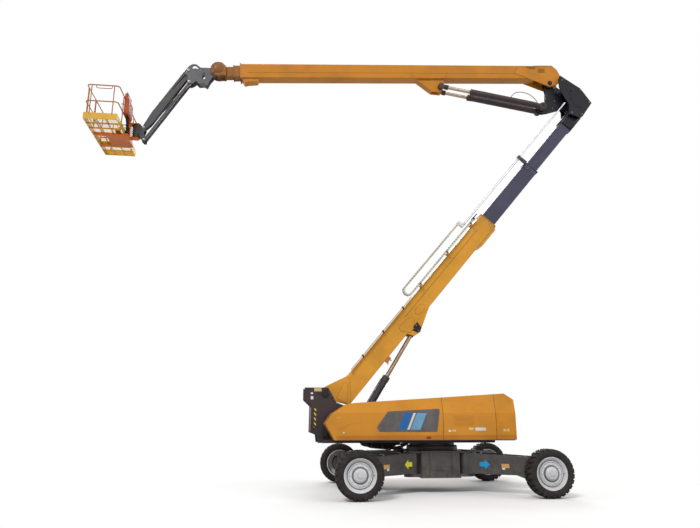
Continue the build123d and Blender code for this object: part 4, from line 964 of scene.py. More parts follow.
@dataclass
class RunningGear:
    """Wheel bolts, arm markings, pin caps and the lines along the arms."""

    hub_face: float = 0.125
    cover_face: float = 0.192
    arm_face: tuple[Point2, Point2] = ((0.700, 0.905), (1.720, 1.600))
    pivot: Point2 = (0.760, 0.720)
    kingpin: Point2 = (2.345, 1.905)

    def wheel(self, corner: str) -> None:
        """Bolts, hub cap and valve of one wheel.

        Args:
            corner: the machine's corner.
        """
        hub = spot(f"wheel_spin_{corner}")
        out = Vector((0, CORNERS[corner][1], 0))
        bolts = Form()
        bolts.bolt_ring(hub + out * self.hub_face, 0.228, 10, 0.015, out)
        bolts.bolt_ring(hub + out * self.cover_face, 0.088, 6, 0.009, out, 0.5)
        bolts.piece(f"wheel_bolts_{corner}", f"wheel_{corner}", Look.WHEEL)
        cap = Form()
        cap.turn(
            [(0.0, 0.196), (0.052, 0.196), (0.060, 0.204), (0.056, 0.215), (0.0, 0.218)], hub, out,
            40,
        )
        cap.turn(
            [
                (0.268, 0.120), (0.292, 0.120), (0.292, 0.129), (0.286, 0.134), (0.274, 0.134),
                (0.268, 0.129),
            ],
            hub, out, 64,
        )
        cap.piece(f"wheel_trim_{corner}", f"wheel_{corner}", Look.WHEEL)
        # Grey rings round the dish and the hub: painted shade where the real wheel face steps in.
        recess = Form()
        for inner, outer, face in (
            (0.292, 0.303, 0.1215), (0.259, 0.268, 0.1265), (0.189, 0.200, 0.1265),
        ):
            recess.turn(rect(inner, face - 0.006, outer, face), hub, out, 72)
        recess.turn(
            [(0.192, 0.1240), (0.195, 0.1265), (0.165, 0.1565), (0.162, 0.1540)], hub, out, 72,
        )
        recess.piece(f"wheel_recess_shade_{corner}", f"wheel_{corner}", Look.RECESS_SHADE)
        valve = Form().rod(
            hub + Vector((0.318, 0, 0)) + out * 0.085, hub + Vector((0.330, 0, 0)) + out * 0.150,
            0.006, 10,
        )
        valve.piece(f"wheel_valve_{corner}", f"wheel_{corner}", Look.BLACK)

    def on_arm(self, corner: str, x: float) -> tuple[Vector, Vector, Vector]:
        """A place on an arm's outer face.

        Args:
            corner: the arm's corner of the machine.
            x: how far out along X, in metres.

        Returns:
            The point at ground height, the direction along the arm, the direction out of the face.
        """
        sx, sy = CORNERS[corner]
        (x0, y0), (x1, y1) = self.arm_face
        ahead = Vector((x1 - x0, y1 - y0, 0)).normalized()
        place = Vector((x, y0 + (x - x0) / (x1 - x0) * (y1 - y0), 0))
        flip = Vector((sx, sy, 1))
        return place * flip, ahead * flip, Vector((-ahead.y, ahead.x, 0)) * flip

    def mark(self, corner: str, x: float, z: float, outline: Sequence[Point2]) -> Form:
        """A thin flat shape on an arm's outer face.

        Args:
            corner: the arm's corner of the machine.
            x: how far out along X, in metres.
            z: height of its middle.
            outline: its shape, along the arm and up.

        Returns:
            The form that holds it.
        """
        place, ahead, out = self.on_arm(corner, x)
        corners = [place + ahead * a + Vector((0, 0, z + b)) + out * 0.0084 for a, b in outline]
        return Form().prism(corners, out * 0.003)

    def marks(self, corner: str) -> None:
        """Cover plate, direction arrow and blank plates of one arm.

        Args:
            corner: the arm's corner of the machine.
        """
        body = f"arm_{corner}"
        place, ahead, out = self.on_arm(corner, 0.800)
        reach = 1.090
        cover = [
            place + ahead * a + Vector((0, 0, z)) - out * 0.001
            for a, z in ((0.0, 0.486), (reach, 0.486), (reach, 0.925), (0.0, 0.965))
        ]
        Form().prism(cover, out * 0.009).piece(f"arm_cover_{corner}", body, Look.CHASSIS, 0.004)
        arrow = [
            (0.145, 0.0), (0.012, 0.118), (0.012, 0.055), (-0.130, 0.055), (-0.130, -0.055),
            (0.012, -0.055), (0.012, -0.118),
        ]
        front = corner.startswith("front")
        x = 0.89 if front else 1.10
        self.mark(corner, x, 0.725, arrow).piece(
            f"arm_arrow_{corner}", body, Look.YELLOW if front else Look.CYAN,
        )
        for number, (place, low, wide, high, look) in enumerate(
            ((1.55, 0.70, 0.100, 0.052, Look.TAN), (1.51, 0.63, 0.035, 0.025, Look.WHITE))
        ):
            plate = rect(-wide, -high, wide, high)
            self.mark(corner, place, low, plate).piece(f"arm_plate_{number}_{corner}", body, look)

    def lines(self, corner: str) -> None:
        """Hoses over one arm with their clamps.

        Args:
            corner: the arm's corner of the machine.
        """
        body = f"arm_{corner}"
        sx, sy = CORNERS[corner]
        lines = Form()
        clamps = Form()
        for k in range(3):
            shift = 0.035 * k
            route = [
                (1.00, 0.88 - shift), (1.35, 1.12 - shift), (1.75, 1.40 - shift),
                (2.15, 1.66 - shift), (2.28, 1.745 - shift),
            ]
            points = [Vector((x * sx, y * sy, self.roof(x, y) + 0.014)) for x, y in route]
            lines.tube(points, 0.011, 8, 4)
        for x, y in ((1.12, 0.925), (1.62, 1.27), (2.08, 1.58)):
            z = self.roof(x, y)
            ahead = Vector((0.80 * sx, 0.60 * sy, 0))
            side = Vector((-0.60 * sx, 0.80 * sy, 0))
            middle = Vector((x * sx, y * sy, z - 0.002))
            corners = [middle + ahead * a + side * b for a, b in rect(-0.02, -0.06, 0.02, 0.06)]
            clamps.prism(corners, Vector((0, 0, 0.032)))
        lines.piece(f"arm_lines_{corner}", body, Look.HOSE)
        clamps.piece(f"arm_clamps_{corner}", body, Look.STEEL, 0.003)

    def kingpin_cap(self, corner: str) -> None:
        """The bolted cap over one kingpin.

        Args:
            corner: the arm's corner of the machine.
        """
        sx, sy = CORNERS[corner]
        kx, ky = self.kingpin[0] * sx, self.kingpin[1] * sy
        cap = Form()
        cap.turn(lid(0.092, 0.020, 0.084, 0.028), (kx, ky, 0.905), UP, 40)
        cap.bolt_ring((kx, ky, 0.932), 0.062, 6, 0.009, UP)
        cap.piece(f"kingpin_cap_{corner}", f"arm_{corner}", Look.CHASSIS)

    def roof(self, x: float, y: float) -> float:
        """Height of an arm's sloping roof over a place."""
        reach = math.hypot(x - self.pivot[0], y - self.pivot[1])
        return 0.995 - 0.090 * max(0.0, reach - 0.300) / 1.829

    def chassis(self) -> None:
        """Pin caps, slew bolts, covers, ribs and tie-down rings of the chassis."""
        caps, bolts = Form(), Form()
        for sx, sy in CORNERS.values():
            x, y = self.pivot[0] * sx, self.pivot[1] * sy
            caps.turn(lid(0.115, 0.014, 0.105, 0.022), (x, y, 1.045), UP, 48)
            bolts.bolt_ring((x, y, 1.066), 0.088, 6, 0.010, UP)
        bolts.bolt_ring((0.0, 0.0, 1.165), 0.662, 40, 0.015, UP)
        ribs = Form()
        for sy in (-1, 1):
            face = 0.930 * sy
            for x in (-0.300, 0.300):
                ribs.block((x - 0.008, face, 0.42), (x + 0.008, face + 0.018 * sy, 1.04))
            for x in (-0.45, -0.15, 0.15, 0.45):
                for z in (0.46, 1.00):
                    bolts.bolt((x, face, z), (0, sy, 0), 0.012)
            ribs.block((-0.250, face, 0.560), (0.250, face + 0.010 * sy, 0.900))
            for x in (-0.225, 0.225):
                for z in (0.585, 0.875):
                    bolts.bolt((x, face + 0.010 * sy, z), (0, sy, 0), 0.009)
        caps.piece("arm_pin_caps", "chassis", Look.CHASSIS)
        ribs.piece("chassis_covers", "chassis", Look.CHASSIS, 0.004)
        bolts.piece("chassis_bolts", "chassis", Look.CHASSIS)
        lips = Form()
        for sx in (-1, 1):
            for sy in (-1, 1):
                lips.turn(
                    [(0.031, -0.019), (0.046, -0.019), (0.050, -0.0155), (0.031, -0.0155)],
                    (0.590 * sx, 0.350 * sy, 0.700), UP, 32,
                )
        lips.piece("tie_down_rings", "chassis", Look.STEEL)

    def build(self) -> None:
        """Everything below the slew ring."""
        for corner in CORNERS:
            self.wheel(corner)
            self.marks(corner)
            self.lines(corner)
            self.kingpin_cap(corner)
        self.chassis()


HOOD_SIDE = 1.250
HOOD_FOLD = 2.020


def hood_surface(z: float) -> float:
    """How far the hood's side lies from the centre plane at a height."""
    return HOOD_SIDE - max(0.0, z - HOOD_FOLD) * 0.160 / 0.580


@dataclass
class Bodywork:
    """Hoods, uprights, tail and deck of the turntable."""

    panel_top: float = 0.0064
    upright_face: float = 0.425
    tail: float = 2.000
    side_panel: tuple[Point2, ...] = (
        (-1.452, 2.058), (-0.100, 2.130), (-0.060, 2.110), (-0.150, 1.560), (-0.180, 1.544),
        (-1.676, 1.547), (-1.740, 1.640), (-1.728, 1.680),
    )
    swell: tuple[Point2, ...] = (
        (-2.760, 1.600), (-2.860, 1.760), (-2.760, 1.900), (-2.640, 1.955), (-2.250, 1.990),
        (-2.165, 1.930), (-2.160, 1.770), (-2.420, 1.745), (-2.600, 1.650),
    )
    # Outlines of the darker strips along the lower edges: painted shade of the undercut.
    front_sill_shade: tuple[Point2, ...] = (
        (-2.780, 1.343), (-2.792, 1.452), (0.008, 1.462), (0.008, 1.343),
    )
    rear_sill_shade: tuple[Point2, ...] = ((0.030, 1.343), (0.028, 1.462), (1.448, 1.470), (1.446, 1.343))
    tail_sill_shade: tuple[Point2, ...] = ((1.462, 1.343), (1.464, 1.471), (1.985, 1.474), (1.990, 1.343))
    bars: tuple[tuple[float, float, Look], ...] = (
        (-1.18, 0.20, Look.BLUE), (-0.95, 0.06, Look.WHITE), (-0.86, 0.26, Look.PALE_BLUE),
    )
    sides: tuple[tuple[str, int], ...] = (("left", -1), ("right", 1))

    def laid(
        self, outlines: Sequence[Sequence[Point2]], side: int, lift: float, thickness: float,
    ) -> Form:
        """Sheets laid on a hood's side.

        Args:
            outlines: side-view outlines.
            side: -1 for the left, 1 for the right.
            lift: how far their inner face lies off the hood.
            thickness: of the sheets.

        Returns:
            The form that holds them.
        """
        form = Form()
        for outline in outlines:
            form.plate(outline, 0.0, 1.0)
        bmesh.ops.bisect_plane(
            form.bm, geom=form.bm.verts[:] + form.bm.edges[:] + form.bm.faces[:],
            plane_co=(0, 0, HOOD_FOLD), plane_no=UP,
        )
        for vert in form.bm.verts:
            vert.co.y = side * (hood_surface(vert.co.z) + lift + vert.co.y * thickness)
        return form

    def sill(self, outline: Sequence[Point2], side: int, name: str, body: str) -> None:
        """The strip along a hood's lower edge in darker yellow: painted shade where the hood curves
        in underneath.
        """
        self.laid([outline], side, -0.002, 0.0035).piece(name, body, Look.SILL_SHADE, 0.0015)

    def panel(self, word: str, side: int) -> None:
        """The dark side panel with a plain pattern of slanted bars.

        Args:
            word: left or right, for the names.
            side: -1 for the left, 1 for the right.
        """
        body = f"front_hood_{word}"
        self.laid([self.side_panel], side, 0.0, 0.006).piece(
            f"side_panel_{word}", body, Look.DARK, 0.003,
        )
        low, high, lean = 1.600, 2.020, 0.180
        for number, (start, wide, look) in enumerate(self.bars):
            outline = [
                (start, low), (start + wide, low), (start + wide + lean, high),
                (start + lean, high),
            ]
            self.laid([outline], side, self.panel_top, 0.0015).piece(
                f"panel_bar_{number}_{word}", body, look,
            )
        if side > 0:
            rows = [
                [(x, 1.62), (x + 0.06, 1.62), (x + 0.12, 1.86), (x + 0.06, 1.86)]
                for x in (-1.62 + 0.09 * k for k in range(4))
            ]
            self.laid(rows, side, self.panel_top, 0.0025).piece(
                f"panel_ribs_{word}", body, Look.BLACK, 0.001,
            )

    def front(self, word: str, side: int) -> None:
        """Swell, sill, latch and lamp of a front hood.

        Args:
            word: left or right, for the names.
            side: -1 for the left, 1 for the right.
        """
        body = f"front_hood_{word}"
        self.laid([self.swell], side, -0.004, 0.009).piece(
            f"hood_swell_{word}", body, Look.HOOD, 0.004,
        )
        self.sill(self.front_sill_shade, side, f"hood_sill_shade_{word}", body)
        latch = Form()
        middle, squash = 1.398, 0.42
        latch.turn(
            lid(0.070, 0.004, 0.062, 0.009), (-0.385, side * HOOD_SIDE, middle), (0, side, 0), 32,
        )
        for vert in latch.bm.verts:
            vert.co.z = middle + (vert.co.z - middle) * squash
        latch.piece(f"hood_latch_{word}", body, Look.SUNK)
        lamp = Form().turn(
            [(0.0, 0.0), (0.022, 0.0), (0.022, 0.006), (0.016, 0.012), (0.0, 0.014)],
            (-2.600, side * HOOD_SIDE, 1.520), (0, side, 0), 24,
        )
        lamp.piece(f"side_lamp_{word}", body, Look.WHITE)

    def rear(self, word: str, side: int) -> None:
        """Plates, louvres and sill of a rear hood.

        Args:
            word: left or right, for the names.
            side: -1 for the left, 1 for the right.
        """
        body = f"rear_hood_{word}"
        plates = [rect(0.150, 1.545, 0.220, 1.590), rect(0.880, 1.575, 1.160, 1.650)]
        self.laid(plates, side, 0.0004, 0.002).piece(f"hood_plates_{word}", body, Look.WHITE)
        marks = [rect(0.250, 1.550, 0.350, 1.600), rect(0.705, 1.590, 0.830, 1.650)]
        self.laid(marks, side, 0.0004, 0.002).piece(f"hood_marks_{word}", body, Look.PLATE)
        louvres = Form()
        for k in range(9):
            z = 1.70 + 0.032 * k
            louvres.prism(
                [
                    Vector((0.30, side * HOOD_SIDE, z)),
                    Vector((0.30, side * HOOD_SIDE, z + 0.022)),
                    Vector((0.30, side * (HOOD_SIDE + 0.012), z)),
                ],
                Vector((0.55, 0, 0)),
            )
        louvres.piece(f"hood_louvres_{word}", body, Look.HOOD, 0.001)
        self.sill(self.rear_sill_shade, side, f"rear_sill_shade_{word}", body)

    def upright(self, word: str, side: int) -> None:
        """Warning stripes, blank plates, pivot cap and bolts of an upright.

        Args:
            word: left or right, for the names.
            side: -1 for the left, 1 for the right.
        """
        y = side * self.upright_face
        rows = (
            ("stripe", rect(-3.315, 1.650, -3.258, 2.150), Look.STRIPES),
            ("plate", rect(-3.320, 2.600, -3.120, 2.690), Look.PLATE),
            ("mark_high", rect(-3.410, 2.525, -3.350, 2.570), Look.WHITE),
            ("mark_low", rect(-3.410, 2.385, -3.340, 2.470), Look.WHITE),
        )
        for name, outline, look in rows:
            Form().plate(
                outline, y + side * 0.0004, y + side * 0.0034,
            ).piece(f"upright_{name}_{word}", "turntable", look)
        cap = Form()
        cap.turn(lid(0.092, 0.012, 0.080, 0.022), (-3.020, side * 0.455, 2.535), (0, side, 0), 48)
        bolts = Form()
        bolts.bolt((-3.190, y, 2.535), (0, side, 0), 0.013)
        for x, z in (
            (-3.330, 1.590), (-3.330, 2.120), (-3.150, 1.400), (-2.950, 2.640), (-2.830, 2.420),
            (-3.060, 1.400),
        ):
            bolts.bolt((x, y, z), (0, side, 0), 0.014)
        for x in (-2.300, -1.900, -1.500, -1.100, 0.200, 0.700, 1.200):
            bolts.bolt((x, y, 1.400), (0, side, 0), 0.012)
        cap.piece(f"pivot_cap_{word}", "turntable", Look.BLACK)
        bolts.piece(f"upright_bolts_{word}", "turntable", Look.KNUCKLE)
        edge = Form().plate(
            [(-3.577, 2.688), (-2.940, 2.688), (-2.935, 2.700), (-3.577, 2.700)], y - side * 0.030,
            y + side * 0.010,
        )
        edge.piece(f"upright_lip_{word}", "turntable", Look.FRAME, 0.002)

    def counterweight(self) -> None:
        """Lamps, stripes, plates, sills and grille at the tail."""
        lamps, dark = Form(), Form()
        x = self.tail
        for side in (-1, 1):
            lamps.block((x, side * 0.95 - 0.07, 1.86), (x + 0.014, side * 0.95 + 0.07, 1.93))
            dark.block((x, side * 0.95 - 0.085, 1.845), (x + 0.006, side * 0.95 + 0.085, 1.945))
        lamps.piece("tail_lamps", "turntable", Look.RED, 0.003)
        dark.piece("tail_lamp_seats", "turntable", Look.BLACK, 0.002)
        stripes = Form()
        for side in (-1, 1):
            stripes.block(
                (x + 0.0004, side * 1.02 - 0.14, 1.42), (x + 0.003, side * 1.02 + 0.14, 1.50),
            )
        stripes.piece("tail_stripes", "turntable", Look.STRIPES)
        plate = Form()
        for start in (1.640, 1.735):
            plate.block(
                (start, -HOOD_SIDE - 0.0025, 1.550), (start + 0.068, -HOOD_SIDE - 0.0004, 1.620),
            )
        plate.piece("tail_plate", "turntable", Look.PLATE)
        for word, side in self.sides:
            self.sill(self.tail_sill_shade, side, f"tail_sill_shade_{word}", "turntable")
        grille = Form()
        for k in range(8):
            z = 1.44 + 0.03 * k
            grille.prism(
                [
                    Vector((x, -0.50, z)), Vector((x, -0.50, z + 0.02)),
                    Vector((x + 0.012, -0.50, z)),
                ],
                Vector((0, 1.0, 0)),
            )
        grille.piece("tail_grille", "turntable", Look.BLACK)

    def deck(self) -> None:
        """Hoses, valves and boxes on and under the deck, the hoses under it clamped along their
        length.
        """
        hoses, fittings = Form(), Form()
        for sy in (-1, 1):
            for k in range(5):
                y = sy * (0.470 + 0.027 * k)
                dip = 0.016 * (k % 3)
                hoses.tube(
                    [
                        (-1.990 + 0.03 * k, y, 1.262), (-1.860, y, 1.190 - dip),
                        (-1.600, y, 1.150 - dip), (-1.250, y, 1.132 - dip),
                        (-1.020, y, 1.150 - dip), (-0.860, y, 1.200), (-0.760, y, 1.262),
                    ],
                    0.022, 8, 5,
                )
                hoses.tube(
                    [
                        (-1.900 + 0.04 * k, y, 1.262), (-1.760, y, 1.222), (-1.300, y, 1.205),
                        (-0.900, y, 1.225), (-0.800, y, 1.262),
                    ],
                    0.020, 8, 5,
                )
            for x, z in ((-1.78, 1.150), (-1.48, 1.122), (-1.18, 1.115), (-0.95, 1.150)):
                fittings.block(
                    (x - 0.022, sy * 0.525 - 0.085, z - 0.022),
                    (x + 0.022, sy * 0.525 + 0.085, z + 0.052),
                )
                fittings.rod((x, sy * 0.525, z + 0.040), (x, sy * 0.525, 1.262), 0.012, 10)
        hoses.piece("deck_hoses", "turntable", Look.HOSE)
        fittings.piece("deck_clamps", "turntable", Look.BLACK, 0.003)
        boxes = Form()
        for x, y, dx, dy, dz in (
            (0.35, 0.0, 0.22, 0.16, 0.20), (0.95, 0.10, 0.16, 0.12, 0.14),
            (-0.25, -0.12, 0.12, 0.10, 0.12),
        ):
            boxes.block((x - dx, y - dy, 1.338), (x + dx, y + dy, 1.340 + dz))
        boxes.piece("deck_valve_boxes", "turntable", Look.ENGINE, 0.008)
        lines = Form()
        for k in range(6):
            y = -0.15 + 0.06 * k
            lines.tube(
                [
                    (0.14, y, 1.37), (-0.10, y, 1.37), (-0.60, y * 0.8, 1.37),
                    (-1.10, y * 0.7, 1.37), (-1.26, y * 0.7, 1.36),
                ],
                0.014, 8, 4,
            )
        lines.piece("deck_lines", "turntable", Look.HOSE)
        box = Form().block((-3.100, -0.620, 1.42), (-2.960, -0.427, 1.62))
        box.piece("ground_controls", "turntable", Look.BLACK, 0.010)

    def build(self) -> None:
        """Both sides, the tail and the deck."""
        for word, side in self.sides:
            self.panel(word, side)
            self.front(word, side)
            self.rear(word, side)
            self.upright(word, side)
        self.counterweight()
        self.deck()


TOWER = Slope((-3.020, 2.535), 50.0)
MAIN = Slope((4.348, 12.653), 4.0)


@dataclass
class Tower:
    """Pressed panels, pads, bolts and lines of the tower boom."""

    side: float = 0.230
    top: float = -0.165
    bottom: float = -0.715
    mouth: float = 7.200
    pressed: tuple[tuple[Point2, ...], ...] = (
        (
            (2.760, -0.530), (2.800, -0.430), (2.900, -0.405), (3.230, -0.470), (3.300, -0.540),
            (3.290, -0.610), (3.020, -0.760), (2.900, -0.745),
        ),
        (
            (3.440, -0.520), (3.470, -0.610), (3.540, -0.640), (3.740, -0.640), (3.800, -0.580),
            (3.790, -0.500), (3.700, -0.455), (3.500, -0.465),
        ),
    )
    foot: tuple[Point2, ...] = (
        (0.130, -0.330), (0.540, -0.215), (0.610, -0.240), (0.610, -0.330), (0.250, -0.600),
        (0.200, -0.580),
    )
    mouth_bolts: Point2 = (7.060, 7.140)
    pipe_v: float = -0.126
    cylinder_base: tuple[float, float, float] = (-2.190, 0.0, 1.490)
    cylinder_eye: Point2 = (3.100, -0.805)

    def plates(
        self, name: str, outlines: Sequence[Sequence[Point2]], y: float, thick: float, look: Look,
        bevel: float = 0.002,
    ) -> None:
        """Thin plates on both sides of the tower's base section.

        Args:
            name: the piece's name.
            outlines: shapes in the tower's u and v.
            y: the face they lie on.
            thick: how far they stand out.
            look: their finish.
            bevel: rounding of their edges.
        """
        form = Form()
        for outline in outlines:
            form.plate(TOWER.outline(outline), y, y + thick)
        form.mirrored().piece(name, "tower_base", look, bevel)

    def pressings(self) -> None:
        """Pressed panels, beads and plates of the base section; the beads are darker yellow as
        painted shade round the pressings, and a black plate on the cylinder lug is painted shadow.
        """
        self.plates(
            "tower_pressings", self.pressed, self.side - 0.002, 0.009, Look.COLUMN, bevel=0.005,
        )
        # Beads in darker yellow: painted shade along the edges of the pressed panels and along a
        # crease line.
        beads = Form()
        for outline in self.pressed:
            beads.bead([TOWER.at(u, v, self.side + 0.001) for u, v in outline], 0.006)
        self.plates("foot_pressing", [self.foot], 0.248, 0.009, Look.COLUMN, bevel=0.005)
        beads.bead([TOWER.at(u, v, 0.251) for u, v in self.foot], 0.006)
        beads.tube([TOWER.at(0.282, -0.704, 0.250), TOWER.at(0.800, -0.240, 0.250)], 0.005)
        beads.tube([TOWER.at(3.150, -0.357, self.side), TOWER.at(6.700, -0.367, self.side)], 0.006)
        beads.mirrored().piece("tower_beads", "tower_base", Look.SEAM)
        dark = [(2.980, -0.710), (3.280, -0.720), (3.235, -0.905), (3.130, -0.955), (3.040, -0.925)]
        self.plates("lug_shadow_plate", [dark], self.side - 0.001, 0.004, Look.BLACK)
        self.plates(
            "tower_plates", [rect(6.560, -0.270, 6.660, -0.215)], self.side, 0.002, Look.PLATE,
            bevel=0.0,
        )

    def base_bolts(self) -> None:
        """Bolts of the mouth, the pads and the cylinder lug."""
        bolts = Form()
        for v in (-0.235, -0.340, -0.540, -0.645):
            for u in self.mouth_bolts:
                bolts.bolt(TOWER.at(u, v, self.side), ACROSS, 0.013)
        for u in (6.500, 6.750, 7.000):
            bolts.bolt(TOWER.at(u, -0.770, 0.210), ACROSS, 0.012)
        for u, v in ((3.060, -0.760), (3.180, -0.760), (3.110, -0.900)):
            bolts.bolt(TOWER.at(u, v, self.side + 0.003), ACROSS, 0.011)
        bolts.mirrored()
        square = TOWER.at(0, 1) - TOWER.at(0, 0)
        for y in (-0.12, 0.12):
            for u in self.mouth_bolts:
                bolts.bolt(TOWER.at(u, self.top, y), square, 0.013)
                bolts.bolt(TOWER.at(u, self.bottom - 0.080, y), -square, 0.013)
        bolts.piece("tower_base_bolts", "tower_base", Look.STEEL)

    def mouth_and_valve(self) -> None:
        """The mouth's rim and the valve block under the base."""
        rim = Form().rim(TOWER, (self.mouth - 0.014, self.mouth), 0.232, (-0.717, -0.163), 0.016)
        rim.piece("tower_mouth_rim", "tower_base", Look.COLUMN, 0.003)
        block = Form()
        corners = [TOWER.at(u, v, -0.215) for u, v in rect(1.800, -0.714, 1.980, -0.800)]
        block.prism(corners, Vector((0, 0.090, 0)))
        block.rod(TOWER.at(1.860, -0.790, -0.170), TOWER.at(1.780, -0.840, -0.170), 0.014, 12)
        block.rod(TOWER.at(1.930, -0.790, -0.170), TOWER.at(1.930, -0.860, -0.170), 0.014, 12)
        block.piece("tower_valve", "tower_base", Look.RAIL, 0.004)

    def lines(self) -> None:
        """Rigid pipes along the base's top edge with their clamps."""
        pipes, clamps = Form(), Form()
        for k in range(3):
            y = -0.262 - 0.028 * k
            route = [(0.950, -0.170), (1.000, -0.138)] + [
                (u, self.pipe_v) for u in (1.150, 2.400, 3.720)
            ]
            pipes.tube([TOWER.at(u, v, y) for u, v in route], 0.0135, 10, 5)
        for u in (1.490, 2.400, 3.310):
            clamps.plate(TOWER.outline(rect(u - 0.020, -0.152, u + 0.020, -0.100)), -0.335, -0.245)
            clamps.plate(TOWER.outline(rect(u - 0.015, -0.195, u + 0.015, -0.145)), -0.252, -0.225)
        pipes.piece("tower_pipes", "tower_base", Look.TRACK)
        clamps.piece("tower_pipe_clamps", "tower_base", Look.BLACK, 0.003)

    def inner_sections(self) -> None:
        """Rim and pad bolts of the middle section."""
        rim, bolts = Form(), Form()
        rim.rim(TOWER, (9.570, 9.600), 0.192, (-0.677, -0.203), 0.012)
        rim.piece("tower_mid_rim", "tower_mid", Look.TOWER, 0.003)
        for v in (-0.270, -0.350, -0.530, -0.610):
            for u in (9.470, 9.530):
                bolts.bolt(TOWER.at(u, v, 0.190), ACROSS, 0.011)
        bolts.mirrored().piece("tower_mid_bolts", "tower_mid", Look.STEEL)

    def cylinder(self) -> None:
        """Gland, pipe and rod end of the tower cylinder."""
        base, eye = Vector(self.cylinder_base), TOWER.at(*self.cylinder_eye)
        ahead = (eye - base).normalized()
        over = Vector((-ahead.z, 0, ahead.x))
        gland = Form()
        gland.turn(
            [
                (0.062, -0.060), (0.104, -0.060), (0.108, -0.050), (0.108, 0.010), (0.098, 0.022),
                (0.062, 0.022),
            ],
            base + ahead * 1.800, ahead, 48,
        )
        gland.piece("tower_gland", "tower_cylinder_barrel", Look.RAM)
        route = ((0.24, 0.090), (0.30, 0.112), (0.80, 0.112), (1.60, 0.112), (1.70, 0.090))
        pipe = Form().tube([base + ahead * a + over * b for a, b in route], 0.012, 8, 5)
        for reach in (0.45, 1.00, 1.55):
            pipe.turn(rect(0.098, -0.012, 0.103, 0.012), base + ahead * reach, ahead, 40)
        pipe.piece("tower_cylinder_pipe", "tower_cylinder_barrel", Look.RAM)
        boot = Form().turn(
            [(0.061, -0.230), (0.078, -0.230), (0.082, -0.220), (0.082, -0.080), (0.061, -0.080)],
            eye, ahead, 40,
        )
        boot.piece("tower_rod_end", "tower_cylinder_rod", Look.CYLINDER)

    def build(self) -> None:
        """The whole tower."""
        self.pressings()
        self.base_bolts()
        self.mouth_and_valve()
        self.lines()
        self.inner_sections()
        self.cylinder()


